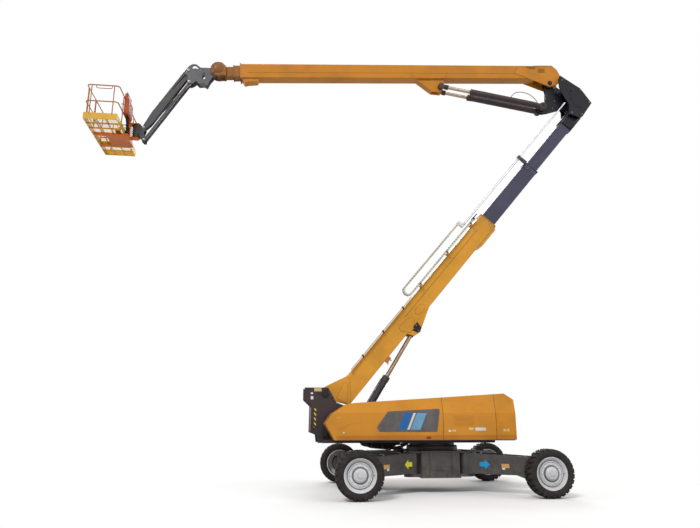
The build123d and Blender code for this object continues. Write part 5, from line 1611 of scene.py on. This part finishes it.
@dataclass
class PowerTrack:
    """The chain beside the tower: link plates over cross bars, its bend and its clamps."""

    y: tuple[float, float] = (-0.350, -0.240)
    low: float = -0.065
    high: float = 0.195
    bend: float = 3.800
    anchor: float = 6.850
    end: float = 6.420
    pitch: float = 0.0875
    half: float = 0.030
    middle: float = -0.295

    def link(self, plates: Form, bars: Form, place: Callable[[float, float], Point2]) -> None:
        """One link.

        Args:
            plates: takes the two side plates.
            bars: takes the cross bars and pins.
            place: turns (along, across) from the link's middle into a side-view point.
        """
        a, b = self.pitch * 0.46, self.half
        outline = [
            place(x, z)
            for x, z in (
                (-a, -b * 0.6), (-a * 0.7, -b), (a * 0.7, -b), (a, -b * 0.6), (a, b * 0.6),
                (a * 0.7, b), (-a * 0.7, b), (-a, b * 0.6),
            )
        ]
        for y0, y1 in ((self.y[0], self.y[0] + 0.014), (self.y[1] - 0.014, self.y[1])):
            plates.plate(outline, y0, y1)
        for face in (1, -1):
            cross = [place(x, face * z) for x, z in rect(-a * 0.5, b * 0.70, a * 0.5, b * 0.98)]
            bars.plate(cross, self.y[0] + 0.002, self.y[1] - 0.002)
        x, z = place(a * 1.08, 0.0)
        bars.rod((x, self.y[0], z), (x, self.y[1], z), 0.010, 10)

    def run(
        self, name: str, v: float, start: float, stop: float,
    ) -> tuple[bpy.types.Object, bpy.types.Object]:
        """A straight run of links; the pieces ride on no body.

        Args:
            name: the run's word in the pieces' names.
            v: height of its middle over the tower's axis.
            start: where it starts along the tower.
            stop: where it ends.

        Returns:
            The link plates and the bars.
        """
        plates, bars = Form(), Form()
        count = round((stop - start) / self.pitch)
        step = (stop - start) / count
        for k in range(count):
            u = start + (k + 0.5) * step
            self.link(plates, bars, lambda x, z, u=u: tuple(TOWER.outline([(u + x, v + z)])[0]))
        for k in range(3):
            cable = rect(start, v - 0.008, stop, v + 0.010)
            bars.plate(
                TOWER.outline(cable), self.y[0] + 0.022 + 0.027 * k, self.y[0] + 0.038 + 0.027 * k,
            )
        return (
            plates.piece(f"track_plates_{name}", "", Look.TRACK),
            bars.piece(f"track_bars_{name}", "", Look.BLACK),
        )

    def build(self) -> None:
        """Both runs, the bend and the fittings."""
        for name, v, stop, body in (
            ("lower", self.low, self.anchor, "tower_base"),
            ("upper", self.high, self.end, "tower_fly"),
        ):
            plates, bars = self.run(name, v, self.bend, stop)
            for piece in (plates, bars):
                TOWER.at(self.bend, v, self.middle)
                TOWER.at(stop, v, self.middle)
                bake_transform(piece)
            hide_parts(f"track_{name}_run")
        plates, bars = Form(), Form()
        centre, radius = (self.low + self.high) / 2, (self.high - self.low) / 2
        for k in range(5):
            middle = math.pi / 2 + (k + 0.5) * math.pi / 5

            def place(x: float, z: float, middle: float = middle) -> Point2:
                """A point of a link in the bend.

                Args:
                    x: how far along the link.
                    z: how far outwards from its middle line.
                    middle: the angle at which the link stands.

                Returns:
                    Its X and Z.
                """
                a, r = middle - x / radius, radius + z
                return tuple(
                    TOWER.outline([(self.bend + r * math.cos(a), centre + r * math.sin(a))])[0]
                )
            self.link(plates, bars, place)
        made = plates.piece("track_plates_bend", "tower_mid", Look.TRACK)
        bars.piece("track_bars_bend", "tower_mid", Look.BLACK)
        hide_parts("track_bend")
        self.fittings()

    def fittings(self) -> None:
        """Anchor, end plate bolts, guide bolts and tube collars."""
        anchor = Form()
        anchor.plate(TOWER.outline(rect(6.835, -0.105, 6.905, -0.020)), -0.352, -0.228)
        anchor.rod(TOWER.at(6.880, -0.045, -0.290), TOWER.at(7.080, -0.045, -0.290), 0.016, 12)
        anchor.rod(TOWER.at(6.880, -0.045, -0.255), TOWER.at(7.020, -0.045, -0.255), 0.012, 12)
        for u in (4.180, 5.480, 6.680):
            anchor.plate(TOWER.outline(rect(u - 0.010, -0.112, u + 0.030, -0.060)), -0.362, -0.352)
        anchor.piece("track_anchor", "tower_base", Look.BLACK, 0.003)
        collar = Form()
        collar.turn(
            rect(0.0375, -0.015, 0.050, 0.020), TOWER.at(6.526, 0.065, -0.300),
            TOWER.at(1, 0) - TOWER.at(0, 0), 32,
        )
        for v in (0.035, 0.095, 0.165, 0.225):
            collar.bolt(TOWER.at(6.465, v, -0.350), (0, -1, 0), 0.010)
        collar.piece("push_tube_collars", "tower_fly", Look.STEEL)
        guide = Form()
        for u in (9.480, 9.520):
            for v in (0.020, 0.110):
                guide.bolt(TOWER.at(u, v, -0.365), (0, -1, 0), 0.009)
        guide.piece("guide_bolts", "tower_mid", Look.STEEL)


@dataclass
class Knuckle:
    """Bolts, caps, covers and pipes of the knuckle."""

    outer: float = 0.305
    bolts_at: tuple[Point2, ...] = (
        (4.730, 12.720), (5.340, 12.400), (5.600, 11.960), (5.300, 11.520), (4.960, 11.560),
    )
    cover: tuple[Point2, ...] = (
        (4.800, 12.560), (5.230, 12.300), (5.470, 11.960), (5.330, 11.740), (5.120, 11.760),
        (4.980, 12.050),
    )
    tongue_bolts: tuple[Point2, ...] = ((4.510, 12.070), (4.420, 11.800), (4.720, 12.300))
    tongue_face: float = 0.068

    def build(self) -> None:
        """Dress the knuckle."""
        bolts, caps = Form(), Form()
        for x, z in self.bolts_at:
            bolts.bolt((x, self.outer, z), ACROSS, 0.016)
        caps.turn(lid(0.062, 0.012, 0.050, 0.018), (5.020, self.outer, 12.370), ACROSS, 40)
        caps.turn(disc(0.036, 0.012, 0.014), (5.220, self.outer, 11.800), ACROSS, 32)
        caps.plate(self.cover, self.outer, self.outer + 0.006)
        bolts.mirrored().piece("knuckle_bolts", "tower_fly", Look.STEEL)
        caps.mirrored().piece("knuckle_covers", "tower_fly", Look.KNUCKLE, 0.003)
        pin = Form()
        pin.turn(lid(0.058, 0.016, 0.046, 0.024), MAIN.at(0, 0, 0.195), ACROSS, 40)
        pin.plate(rect(4.330, 12.610, 4.366, 12.560), 0.184, 0.195)
        pin.mirrored().piece("boom_pin_caps", "tower_fly", Look.BLACK, 0.002)
        pipes = Form()
        for k in range(3):
            y = -0.110 - 0.035 * k
            pipes.tube(
                [(5.000, y, 11.640), (4.930, y, 11.800), (4.960, y, 12.050), (5.060, y, 12.200)],
                0.013, 8, 5,
            )
        for k in range(2):
            y = 0.120 + 0.040 * k
            pipes.tube(
                [(5.000, y, 11.640), (4.930, y, 11.820), (4.970, y, 12.060), (5.060, y, 12.200)],
                0.013, 8, 5,
            )
        pipes.piece("knuckle_pipes", "tower_fly", Look.HOSE)
        tongue = Form()
        for x, z in self.tongue_bolts:
            tongue.bolt((x, self.tongue_face, z), ACROSS, 0.013)
        tongue.mirrored().piece("tongue_bolts", "tower_fly", Look.STEEL)


@dataclass
class MainBoom:
    """Seams, bolts, rims, pads and cylinders of the main boom."""

    side: float = 0.175
    high: float = 0.650
    windows: tuple[tuple[Point2, ...], ...] = (
        ((-0.620, 0.510), (-0.420, 0.520), (-0.420, 0.600), (-0.760, 0.600)),
        ((-0.340, 0.380), (-0.120, 0.380), (-0.100, 0.520), (-0.340, 0.520)),
    )
    seam_strips: tuple[tuple[Point2, ...], ...] = (
        ((-3.560, 0.170), (-3.480, 0.330), (-3.470, 0.330), (-3.548, 0.166)),
        ((-4.560, 0.170), (-4.700, 0.330), (-4.690, 0.332), (-4.548, 0.166)),
    )
    tail: tuple[Point2, ...] = (
        (-1.180, 0.360), (-1.040, 0.610), (0.145, 0.620), (0.295, 0.485), (0.388, 0.265),
        (0.388, 0.065), (0.230, -0.045), (0.000, -0.128), (-0.325, -0.005),
    )
    cylinder_base: tuple[float, float, float] = (4.020, 0.0, 11.770)
    cylinder_eye: Point2 = (-3.716, -0.124)
    cylinder_y: float = 0.172
    barrel_length: float = 2.430

    def seams(self) -> None:
        """Seams, windows and the bead round the doubler, all in darker yellow as painted shade
        along creases and edges.
        """
        trim = Form()
        trim.plate(MAIN.outline(rect(-9.850, 0.340, -1.180, 0.349)), 0.174, 0.1785)
        for outline in self.windows:
            trim.plate(MAIN.outline(outline), 0.183, 0.188)
        for outline in self.seam_strips:
            trim.plate(MAIN.outline(outline), 0.174, 0.178)
        trim.mirrored().piece("boom_seams", "main_base", Look.SEAM, 0.0015)
        edge = Form()
        # The bead round the doubler in darker yellow: painted shade along its edge.
        edge.bead([MAIN.at(u, v, 0.183) for u, v in self.tail], 0.0035)
        edge.mirrored().piece("doubler_bead_shade", "main_base", Look.SEAM)

    def base_bolts(self) -> None:
        """Pad bolts at the base section's mouth."""
        bolts = Form()
        square = MAIN.at(0, 1) - MAIN.at(0, 0)
        for v in (0.215, 0.290, 0.520, 0.595):
            for u in (-10.040, -9.980):
                bolts.bolt(MAIN.at(u, v, self.side), ACROSS, 0.011)
        for u in (-9.930, -9.750, -9.600):
            bolts.bolt(MAIN.at(u, 0.110, 0.135), ACROSS, 0.010)
        bolts.mirrored()
        for u in (-10.040, -9.980):
            for y in (-0.10, 0.10):
                bolts.bolt(MAIN.at(u, self.high, y), square, 0.011)
        bolts.piece("boom_bolts", "main_base", Look.STEEL)

    def mouth_and_pads(self) -> None:
        """The mouth's rim, the lug's pin caps and the pads on top."""
        lip = Form().rim(MAIN, (-10.090, -10.062), 0.176, (0.159, 0.651), 0.013)
        lip.piece("boom_mouth_rim", "main_base", Look.BOOM, 0.002)
        cap = Form().turn(disc(0.052, 0.010, 0.012), MAIN.at(*self.cylinder_eye, 0.247), ACROSS, 32)
        cap.mirrored().piece("lug_pin_caps", "main_base", Look.CYLINDER)
        rail = Form()
        for u in (-8.8, -6.6, -4.4, -2.2):
            rail.plate(MAIN.outline(rect(u - 0.020, 0.649, u + 0.020, 0.662)), -0.045, 0.045)
        rail.piece("boom_top_pads", "main_base", Look.BOOM, 0.002)

    def inner_sections(self) -> None:
        """The middle section's rim, and the bolts and caps of the head."""
        rim = Form().rim(MAIN, (-10.297, -10.275), 0.146, (0.202, 0.608), 0.010)
        rim.piece("boom_mid_rim", "main_mid", Look.HEAD, 0.002)
        bolts, caps = Form(), Form()
        crown = MAIN.at(-10.750, 0.468)
        bolts.bolt_ring(crown + Vector((0, 0.180, 0)), 0.190, 8, 0.010, ACROSS)
        for v in (0.260, 0.330, 0.480, 0.550):
            bolts.bolt(MAIN.at(-10.535, v, 0.175), MAIN.at(0, 0) - MAIN.at(1, 0), 0.009)
        caps.turn(lid(0.130, 0.008, 0.118, 0.014), crown + Vector((0, 0.180, 0)), ACROSS, 48)
        caps.turn(disc(0.055, 0.012, 0.014), (-6.560, 0.186, 12.260), ACROSS, 32)
        bolts.mirrored().piece("head_bolts", "main_fly", Look.STEEL)
        caps.mirrored().piece("head_caps", "main_fly", Look.HEAD, 0.002)

    def cylinders(self) -> None:
        """Glands, pipes, pin ends and rod ends of the two lift cylinders."""
        eye, base = MAIN.at(*self.cylinder_eye), Vector(self.cylinder_base)
        ahead = (eye - base).normalized()
        over = Vector((ahead.z, 0, -ahead.x))
        glands, pipes, boots, caps = Form(), Form(), Form(), Form()
        for side in (-1, 1):
            shift = Vector((0, side * self.cylinder_y, 0))
            foot = base + shift
            caps.turn(
                [
                    (0.0, -0.030), (0.0495, -0.030), (0.0495, -0.003), (0.0465, 0.0), (0.016, 0.0),
                    (0.010, -0.005), (0.0, -0.005),
                ],
                base + Vector((0, side * 0.262, 0)), (0, side, 0), 40,
            )
            glands.turn(
                [
                    (0.057, -0.060), (0.098, -0.060), (0.103, -0.050), (0.103, -0.005),
                    (0.095, 0.010), (0.057, 0.010),
                ],
                foot + ahead * self.barrel_length, ahead, 48,
            )
            for reach in (0.20, 0.95, 1.70, 2.25):
                glands.turn(rect(0.089, -0.016, 0.096, 0.016), foot + ahead * reach, ahead, 40)
            route = ((0.240, 0.088), (0.300, 0.108), (1.200, 0.108), (2.250, 0.108), (2.330, 0.088))
            pipes.tube([foot + ahead * a + over * b for a, b in route], 0.011, 8, 5)
            boots.turn(
                [(0.056, 0.105), (0.076, 0.105), (0.080, 0.115), (0.080, 0.230), (0.056, 0.230)],
                eye + shift, -ahead, 40,
            )
            boots.turn(
                [
                    (0.046, -0.061), (0.096, -0.061), (0.103, -0.054), (0.103, 0.054),
                    (0.096, 0.061), (0.046, 0.061),
                ],
                eye + shift, ACROSS, 48,
            )
        glands.piece("lift_glands", "main_cylinder_barrel", Look.CYLINDER)
        pipes.piece("lift_pipes", "main_cylinder_barrel", Look.BLACK)
        boots.piece("lift_rod_ends", "main_cylinder_rod", Look.CYLINDER)
        caps.piece("lift_pin_caps", "main_cylinder_barrel", Look.BLACK)
        foot = base + Vector((0, -self.cylinder_y, 0))
        route = (
            (1.05, 0.088), (1.04, 0.190), (0.90, 0.330), (0.66, 0.380), (0.42, 0.330),
            (0.24, 0.200), (0.16, 0.090),
        )
        arc = Form().tube([foot + ahead * a + over * b for a, b in route], 0.011, 8, 6)
        arc.piece("lift_loop_pipe", "main_cylinder_barrel", Look.BLACK)

    def build(self) -> None:
        """The whole boom."""
        self.seams()
        self.base_bolts()
        self.mouth_and_pads()
        self.inner_sections()
        self.cylinders()


@dataclass
class Jib:
    """Pins, covers and lines of the level bracket and the jib."""

    top: Point2 = (-7.300, 12.270)
    low: Point2 = (-8.490, 10.280)
    link_low: Point2 = (-8.449, 9.889)
    link_top: Point2 = (-7.259, 11.879)
    bracket_bolts: tuple[Point2, ...] = (
        (-6.700, 12.330), (-6.760, 11.900), (-7.080, 12.050), (-7.250, 12.060), (-6.960, 12.290),
        (-7.360, 12.200),
    )
    bracket_rim: tuple[Point2, ...] = (
        (-7.205, 12.320), (-7.215, 12.405), (-7.155, 12.455), (-7.085, 12.452), (-7.008, 12.388),
        (-7.000, 12.320), (-7.015, 12.320), (-7.025, 12.380), (-7.092, 12.436), (-7.150, 12.440),
        (-7.198, 12.398), (-7.190, 12.320),
    )
    rotor_x: float = -8.700
    rotor_ends: Point2 = (9.990, 10.370)
    line_v: float = -0.124

    def slope(self) -> Slope:
        """The jib's own axes, u running down it and v to its lower side."""
        run, rise = self.low[0] - self.top[0], self.low[1] - self.top[1]
        return Slope(self.top, math.degrees(math.atan2(rise, run)))

    def caps(self, name: str, body: str, spots: Sequence[tuple[Point2, float, float]]) -> None:
        """Round pin caps with a keeper bolt on both sides.

        Args:
            name: the piece's name.
            body: what it moves with.
            spots: side-view centre, radius and the face's y of each.
        """
        form = Form()
        for (x, z), radius, y in spots:
            form.turn(
                lid(radius, radius * 0.20, radius * 0.8, radius * 0.32), (x, y, z), ACROSS, 36,
            )
            form.bolt((x, y + radius * 0.30, z), ACROSS, radius * 0.30)
        form.mirrored().piece(name, body, Look.STEEL)

    def pins(self) -> None:
        """Caps of the four pins."""
        self.caps(
            "jib_top_caps", "level", [(self.top, 0.048, 0.140), (self.link_top, 0.048, 0.140)],
        )
        self.caps(
            "jib_low_caps", "platform_bracket",
            [(self.low, 0.046, 0.125), (self.link_low, 0.040, 0.125)],
        )

    def bracket(self) -> None:
        """Bolts and rim of the level bracket."""
        bolts = Form()
        for x, z in self.bracket_bolts:
            bolts.bolt((x, 0.135, z), ACROSS, 0.012)
        bolts.mirrored().piece("bracket_bolts", "level", Look.STEEL)
        arc = Form().plate(self.bracket_rim, 0.134, 0.143)
        arc.mirrored().piece("bracket_rim", "level", Look.BRACKET, 0.002)

    def beam(self) -> None:
        """Edges, clamp plate and bolts of the beam."""
        axes = self.slope()
        trim = Form()
        trim.plate(axes.outline(rect(0.300, -0.085, 1.700, -0.077)), 0.0755, 0.0785)
        trim.plate(axes.outline(rect(0.320, 0.050, 1.650, 0.058)), 0.0755, 0.0785)
        trim.plate(axes.outline(rect(0.780, -0.060, 0.960, 0.090)), 0.0755, 0.0810)
        for u, v in (
            (0.800, -0.040), (0.940, -0.040), (0.800, 0.070), (0.940, 0.070), (0.120, -0.070),
            (2.100, -0.040),
        ):
            trim.bolt(axes.at(u, v, 0.0790), ACROSS, 0.008)
        trim.mirrored().piece("jib_trim", "jib", Look.JIB, 0.0015)

    def lines(self) -> None:
        """Hoses along the beam with their clamps."""
        axes = self.slope()
        lines, clamps = Form(), Form()
        for k in range(3):
            y = -0.030 + 0.030 * k
            lines.tube(
                [axes.at(u, self.line_v, y) for u in (0.100, 0.700, 1.300, 1.780)], 0.011, 8, 3,
            )
        for u in (0.250, 0.800, 1.350, 1.700):
            clamps.plate(axes.outline(rect(u - 0.014, -0.142, u + 0.014, -0.108)), -0.052, 0.052)
        lines.piece("jib_lines", "jib", Look.HOSE)
        clamps.piece("jib_clamps", "jib", Look.STEEL, 0.002)

    def rotor(self) -> None:
        """Rings, bolts and valve of the rotator."""
        rotor = Form()
        for z in self.rotor_ends:
            rotor.turn(rect(0.112, -0.012, 0.128, 0.0), (self.rotor_x, 0.0, z), UP, 48)
        for k in range(8):
            a = math.pi * k / 4
            out = Vector((math.cos(a), math.sin(a), 0))
            rotor.bolt(Vector((self.rotor_x, 0.0, 10.180)) + out * 0.1155, out, 0.009)
        rotor.block((-8.645, -0.060, 10.190), (-8.560, 0.060, 10.270))
        rotor.piece("rotator_trim", "platform_bracket", Look.BLACK)

    def build(self) -> None:
        """The whole jib."""
        self.pins()
        self.bracket()
        self.beam()
        self.lines()
        self.rotor()


@dataclass
class Platform:
    """Console, floor and rail details of the basket."""

    inboard: float = -8.970
    outboard: float = -9.880
    half: float = 1.220
    floor: float = 9.920
    console_face: float = -8.973
    panel_face: float = -8.983
    console_y: tuple[float, float] = (-0.610, -0.070)
    console_z: tuple[float, float] = (10.465, 11.095)

    def panels(self) -> None:
        """The console's control panel and the hatch behind it."""
        (y0, y1), (z0, z1) = self.console_y, self.console_z
        front, face = self.console_face, self.panel_face
        panel = Form()
        panel.block((face, y0 + 0.030, z0 + 0.260), (front + 0.002, y1 - 0.030, z1 - 0.040))
        panel.piece("console_panel", "platform", Look.BLACK, 0.004)
        hatch = Form().block(
            (front + 0.124, y0 + 0.040, z0 + 0.100), (front + 0.130, y1 - 0.040, z0 + 0.300),
        )
        hatch.piece("console_hatch", "platform", Look.CONSOLE, 0.003)

    def controls(self) -> None:
        """Knobs, sticks and the stop button."""
        (y0, y1), z0, face = self.console_y, self.console_z[0], self.panel_face
        knobs = Form()
        for k in range(5):
            y = y0 + 0.090 + 0.090 * k
            knobs.turn(
                [(0.0, 0.0), (0.014, 0.0), (0.012, 0.016), (0.0, 0.018)], (face, y, z0 + 0.480),
                (-1, 0, 0), 20,
            )
            knobs.turn(disc(0.009, 0.012, 0.014), (face, y, z0 + 0.400), (-1, 0, 0), 16)
        knobs.piece("console_knobs", "platform", Look.WHITE)
        sticks = Form()
        for y in (y0 + 0.120, y1 - 0.120):
            place = Vector((face, y, z0 + 0.320))
            sticks.turn(
                [(0.0, 0.0), (0.030, 0.0), (0.022, 0.020), (0.0, 0.024)], place, (-1, 0, 0), 24,
            )
            sticks.rod(place, place + Vector((-0.085, 0, 0.020)), 0.007, 12)
            sticks.turn(
                [(0.0, -0.020), (0.014, -0.014), (0.017, 0.0), (0.012, 0.016), (0.0, 0.022)],
                place + Vector((-0.088, 0, 0.021)), (-1, 0, 0.2), 20,
            )
        sticks.piece("console_sticks", "platform", Look.BLACK)
        stop = Form().turn(
            [(0.0, 0.0), (0.020, 0.0), (0.026, 0.012), (0.022, 0.026), (0.0, 0.030)],
            (face, y1 - 0.080, z0 + 0.540), (-1, 0, 0), 28,
        )
        stop.piece("stop_button", "platform", Look.RED)

    def guard(self) -> None:
        """The bar over the console."""
        (y0, y1), z1, front = self.console_y, self.console_z[1], self.console_face
        route = [(0.060, 0.020, -0.010), (0.060, 0.010, 0.030), (0.050, 0.060, 0.052)]
        near = [(front + x, y0 + y, z1 + z) for x, y, z in route]
        far = [(front + x, y1 - y, z1 + z) for x, y, z in reversed(route)]
        guard = Form().tube(near + far, 0.009, 10, 5)
        guard.piece("console_guard", "platform", Look.BLACK)

    def cheeks(self) -> None:
        """The console's side cheeks and the bolts of its hatch."""
        (y0, y1), (z0, z1), front = self.console_y, self.console_z, self.console_face
        edge = Form()
        for y in (y0 - 0.004, y1 - 0.010):
            edge.plate(
                [
                    (front + 0.010, z0 + 0.020), (front + 0.118, z0 + 0.075),
                    (front + 0.118, z1 - 0.200), (front + 0.068, z1 - 0.020),
                    (front + 0.010, z1 - 0.020),
                ],
                y, y + 0.014,
            )
        edge.piece("console_cheeks", "platform", Look.CONSOLE, 0.004)
        bolts = Form()
        for y in (y0 + 0.05, y1 - 0.05):
            for z in (z0 + 0.110, z0 + 0.290, z0 + 0.390):
                bolts.bolt((front + 0.1275, y, z), (1, 0, 0), 0.007)
        bolts.piece("console_bolts", "platform", Look.STEEL)

    def hoses(self) -> None:
        """The hose bundle under the console, the level valve and its strap."""
        z0 = self.console_z[0]
        bundle, rings = Form(), Form()
        for k in range(7):
            y = -0.240 - 0.030 * (k % 4)
            x = -8.900 - 0.030 * (k // 4)
            bundle.tube(
                [
                    (x, y - 0.100, z0 + 0.010), (x - 0.002, y - 0.070, z0 - 0.080),
                    (x, y - 0.020, z0 - 0.180), (x - 0.004, y + 0.045, z0 - 0.300),
                    (x, y + 0.045, 10.050), (x, y + 0.040, 9.990),
                ],
                0.023, 8, 5,
            )
        for z in (10.120, 10.020, 10.200):
            rings.block((-8.952, -0.320, z - 0.012), (-8.878, -0.150, z + 0.012))
        bundle.piece("console_hoses", "platform", Look.HOSE)
        rings.piece("hose_clamps", "platform", Look.BLACK, 0.003)
        valve = Form()
        valve.rod((-8.900, 0.220, 9.985), (-8.900, 0.220, 10.330), 0.045, 28)
        valve.rod((-8.900, 0.220, 10.325), (-8.900, 0.220, 10.370), 0.020, 16)
        valve.piece("level_valve", "platform", Look.BLACK)
        strap = Form().block((-8.942, 0.170, 10.130), (-8.858, 0.270, 10.180))
        strap.piece("valve_strap", "platform", Look.HEAD, 0.003)

    def rails(self) -> None:
        """Sleeves at the posts' feet, the toe boards' bolts and the gate's latch."""
        feet = Form()
        x0, x1 = self.outboard + 0.021, self.inboard - 0.020
        y0, y1 = -self.half + 0.020, self.half - 0.020
        low = self.floor + 0.190
        for x, y in (
            (x0 + 0.130, y0), (x1 - 0.130, y0), (x1, -0.650), (x1, 0.0), (x1, 0.650),
            (x1 - 0.130, y1), (x0 + 0.130, y1), (x0, 0.500),
        ):
            feet.turn(rect(0.0155, -0.060, 0.021, 0.030), (x, y, low), UP, 20)
        feet.piece("rail_feet", "platform", Look.RAIL)
        bolts = Form()
        for y in (-1.000, -0.600, -0.200, 0.200, 0.600, 1.000):
            bolts.bolt((self.inboard, y, self.floor + 0.150), (1, 0, 0), 0.009)
        for x in (-9.700, -9.420, -9.140):
            for sy in (-1, 1):
                bolts.bolt((x, sy * self.half, self.floor + 0.150), (0, sy, 0), 0.009)
        bolts.piece("toe_bolts", "platform", Look.STEEL)
        latch = Form().block(
            (self.outboard, -0.340, 10.560), (self.outboard + 0.016, -0.250, 10.620),
        )
        latch.piece("gate_latch", "gate", Look.BLACK, 0.003)

    def grating(self) -> None:
        """The floor's fine cross wires, the foot switch and the stiffeners under it."""
        wires = Form()
        for k in range(48):
            y = -self.half + 0.026 + k * (2 * self.half - 0.052) / 47
            wires.block(
                (self.outboard + 0.008, y - 0.002, self.floor + 0.030),
                (self.inboard - 0.008, y + 0.002, self.floor + 0.038),
            )
        wires.piece("floor_wires", "platform", Look.FLOOR)
        pedal = Form()
        pedal.block((-9.200, -0.480, self.floor + 0.038), (-9.060, -0.300, self.floor + 0.070))
        pedal.plate(
            [(-9.190, 10.000), (-9.050, 10.060), (-9.050, 10.066), (-9.190, 10.006)], -0.470,
            -0.310,
        )
        pedal.piece("foot_switch", "platform", Look.BLACK, 0.004)
        ribs = Form()
        for y in (-0.360, 0.360):
            ribs.plate(rect(-9.400, 9.862, -8.960, 9.905), y - 0.006, y + 0.006)
        for y in (-0.34, 0.34):
            for x in (-9.400, -9.200, -9.000):
                ribs.bolt((x, y, 9.850), (0, 0, -1), 0.010)
        ribs.piece("support_ribs", "platform", Look.SUPPORT, 0.002)

    def build(self) -> None:
        """The whole basket."""
        self.panels()
        self.controls()
        self.guard()
        self.cheeks()
        self.hoses()
        self.rails()
        self.grating()


@dataclass
class Studio:
    """Floor, lights and camera."""

    eye: tuple[float, float, float] = (-4.43, -17.40, 1.80)
    yaw: float = 7.02
    pitch: float = 14.42
    lens: float = 31.54
    pale: float = 0.970
    bounce: float = 0.760
    fade: tuple[float, float] = (3.5, 9.0)
    surround: float = 0.66
    key: float = 1.45
    fill: float = 0.45
    back: float = 0.70

    def camera(self) -> None:
        """The camera at the machine's near side."""
        data = bpy.data.cameras.new("camera")
        data.sensor_width, data.lens = 36.0, self.lens
        data.clip_end = 300.0
        camera = bpy.data.objects.new("camera", data)
        bpy.context.scene.collection.objects.link(camera)
        yaw, pitch = math.radians(self.yaw), math.radians(self.pitch)
        ahead = Vector(
            (math.sin(yaw) * math.cos(pitch), math.cos(yaw) * math.cos(pitch), math.sin(pitch))
        )
        camera.location = self.eye
        camera.rotation_euler = ahead.to_track_quat("-Z", "Y").to_euler()
        bpy.context.scene.camera = camera

    def floor(self) -> None:
        """A pale floor that takes the object's shadow and turns plain white away from it."""
        form = Form()
        corners = [Vector((x, y, 0.0)) for x, y in rect(-90, -60, 90, 120)]
        form.bm.faces.new([form.bm.verts.new(c) for c in corners])
        floor = form.piece("studio_floor", "", Look.WHITE)
        recipe = Recipe("studio_floor")
        pale = (self.pale, self.pale, self.pale)
        soft = recipe.mix(
            recipe.noise(0.6, 3.0).ramp(0.3, 0.7), linear(pale),
            linear(tuple(c * 0.99 for c in pale)),
        )
        seen = recipe.node("ShaderNodeLightPath")["Is Camera Ray"]
        soft = recipe.mix(seen, linear((self.bounce, self.bounce, self.bounce)), soft)
        shader = recipe.node(
            "ShaderNodeBsdfDiffuse", None, {"Color": soft, "Roughness": 0.0},
        )["BSDF"]
        light = recipe.node(
            "ShaderNodeEmission", None, {"Color": (1.0, 1.0, 1.0, 1.0), "Strength": 1.0},
        )["Emission"]
        away = recipe.node(
            "ShaderNodeVectorMath", {"operation": "LENGTH"}, {0: recipe.place},
        )["Value"]
        share = away.ramp(*self.fade) * seen
        mixed = recipe.node("ShaderNodeMixShader", None, {0: share, 1: shader, 2: light})["Shader"]
        recipe.node("ShaderNodeOutputMaterial", None, {"Surface": mixed})
        floor.data.materials.clear()
        floor.data.materials.append(recipe.material)

    def build(self) -> None:
        """Everything round the machine."""
        self.floor()
        self.world()
        self.sun("key", (-0.55, -0.80, 0.85), self.key, 14.0)
        self.sun("fill", (0.85, -0.60, 0.40), self.fill, 30.0)
        self.sun("back", (0.10, 0.90, 0.60), self.back, 25.0)
        bpy.context.scene.view_settings.view_transform = "Standard"
        self.camera()

    def sun(self, name: str, source: Sequence[float], strength: float, spread: float) -> None:
        """A soft distant lamp.

        Args:
            name: the lamp's name.
            source: the direction in which it stands.
            strength: its strength.
            spread: how wide it looks, in degrees.
        """
        data = bpy.data.lights.new(name, "SUN")
        data.energy, data.angle = strength, math.radians(spread)
        lamp = bpy.data.objects.new(name, data)
        bpy.context.scene.collection.objects.link(lamp)
        lamp.rotation_euler = Vector(source).to_track_quat("Z", "Y").to_euler()

    def world(self) -> None:
        """A plain white surround for the camera and for reflections, softer as light."""
        world = bpy.data.worlds.new("studio")
        bpy.context.scene.world = world
        world.use_nodes = True
        tree = world.node_tree
        tree.nodes.clear()
        path = tree.nodes.new("ShaderNodeLightPath")
        light, seen = (tree.nodes.new("ShaderNodeBackground") for _ in range(2))
        for shader, strength in ((light, self.surround), (seen, 1.0)):
            shader.inputs["Color"].default_value = (1.0, 1.0, 1.0, 1.0)
            shader.inputs["Strength"].default_value = strength
        either = tree.nodes.new("ShaderNodeMath")
        either.operation = "MAXIMUM"
        tree.links.new(path.outputs["Is Camera Ray"], either.inputs[0])
        tree.links.new(path.outputs["Is Glossy Ray"], either.inputs[1])
        mixed = tree.nodes.new("ShaderNodeMixShader")
        tree.links.new(either.outputs[0], mixed.inputs[0])
        tree.links.new(light.outputs[0], mixed.inputs[1])
        tree.links.new(seen.outputs[0], mixed.inputs[2])
        out = tree.nodes.new("ShaderNodeOutputWorld")
        tree.links.new(mixed.outputs[0], out.inputs["Surface"])


def main() -> None:
    """Build everything in order."""
    logging.basicConfig(level=logging.INFO, format="%(name)s: %(message)s")
    for made in (
        Studio, CadDress, Wheels, RunningGear, Bodywork, Tower, PowerTrack, Knuckle, MainBoom, Jib,
        Platform,
    ):
        made().build()


if __name__ == "__main__":
    main()
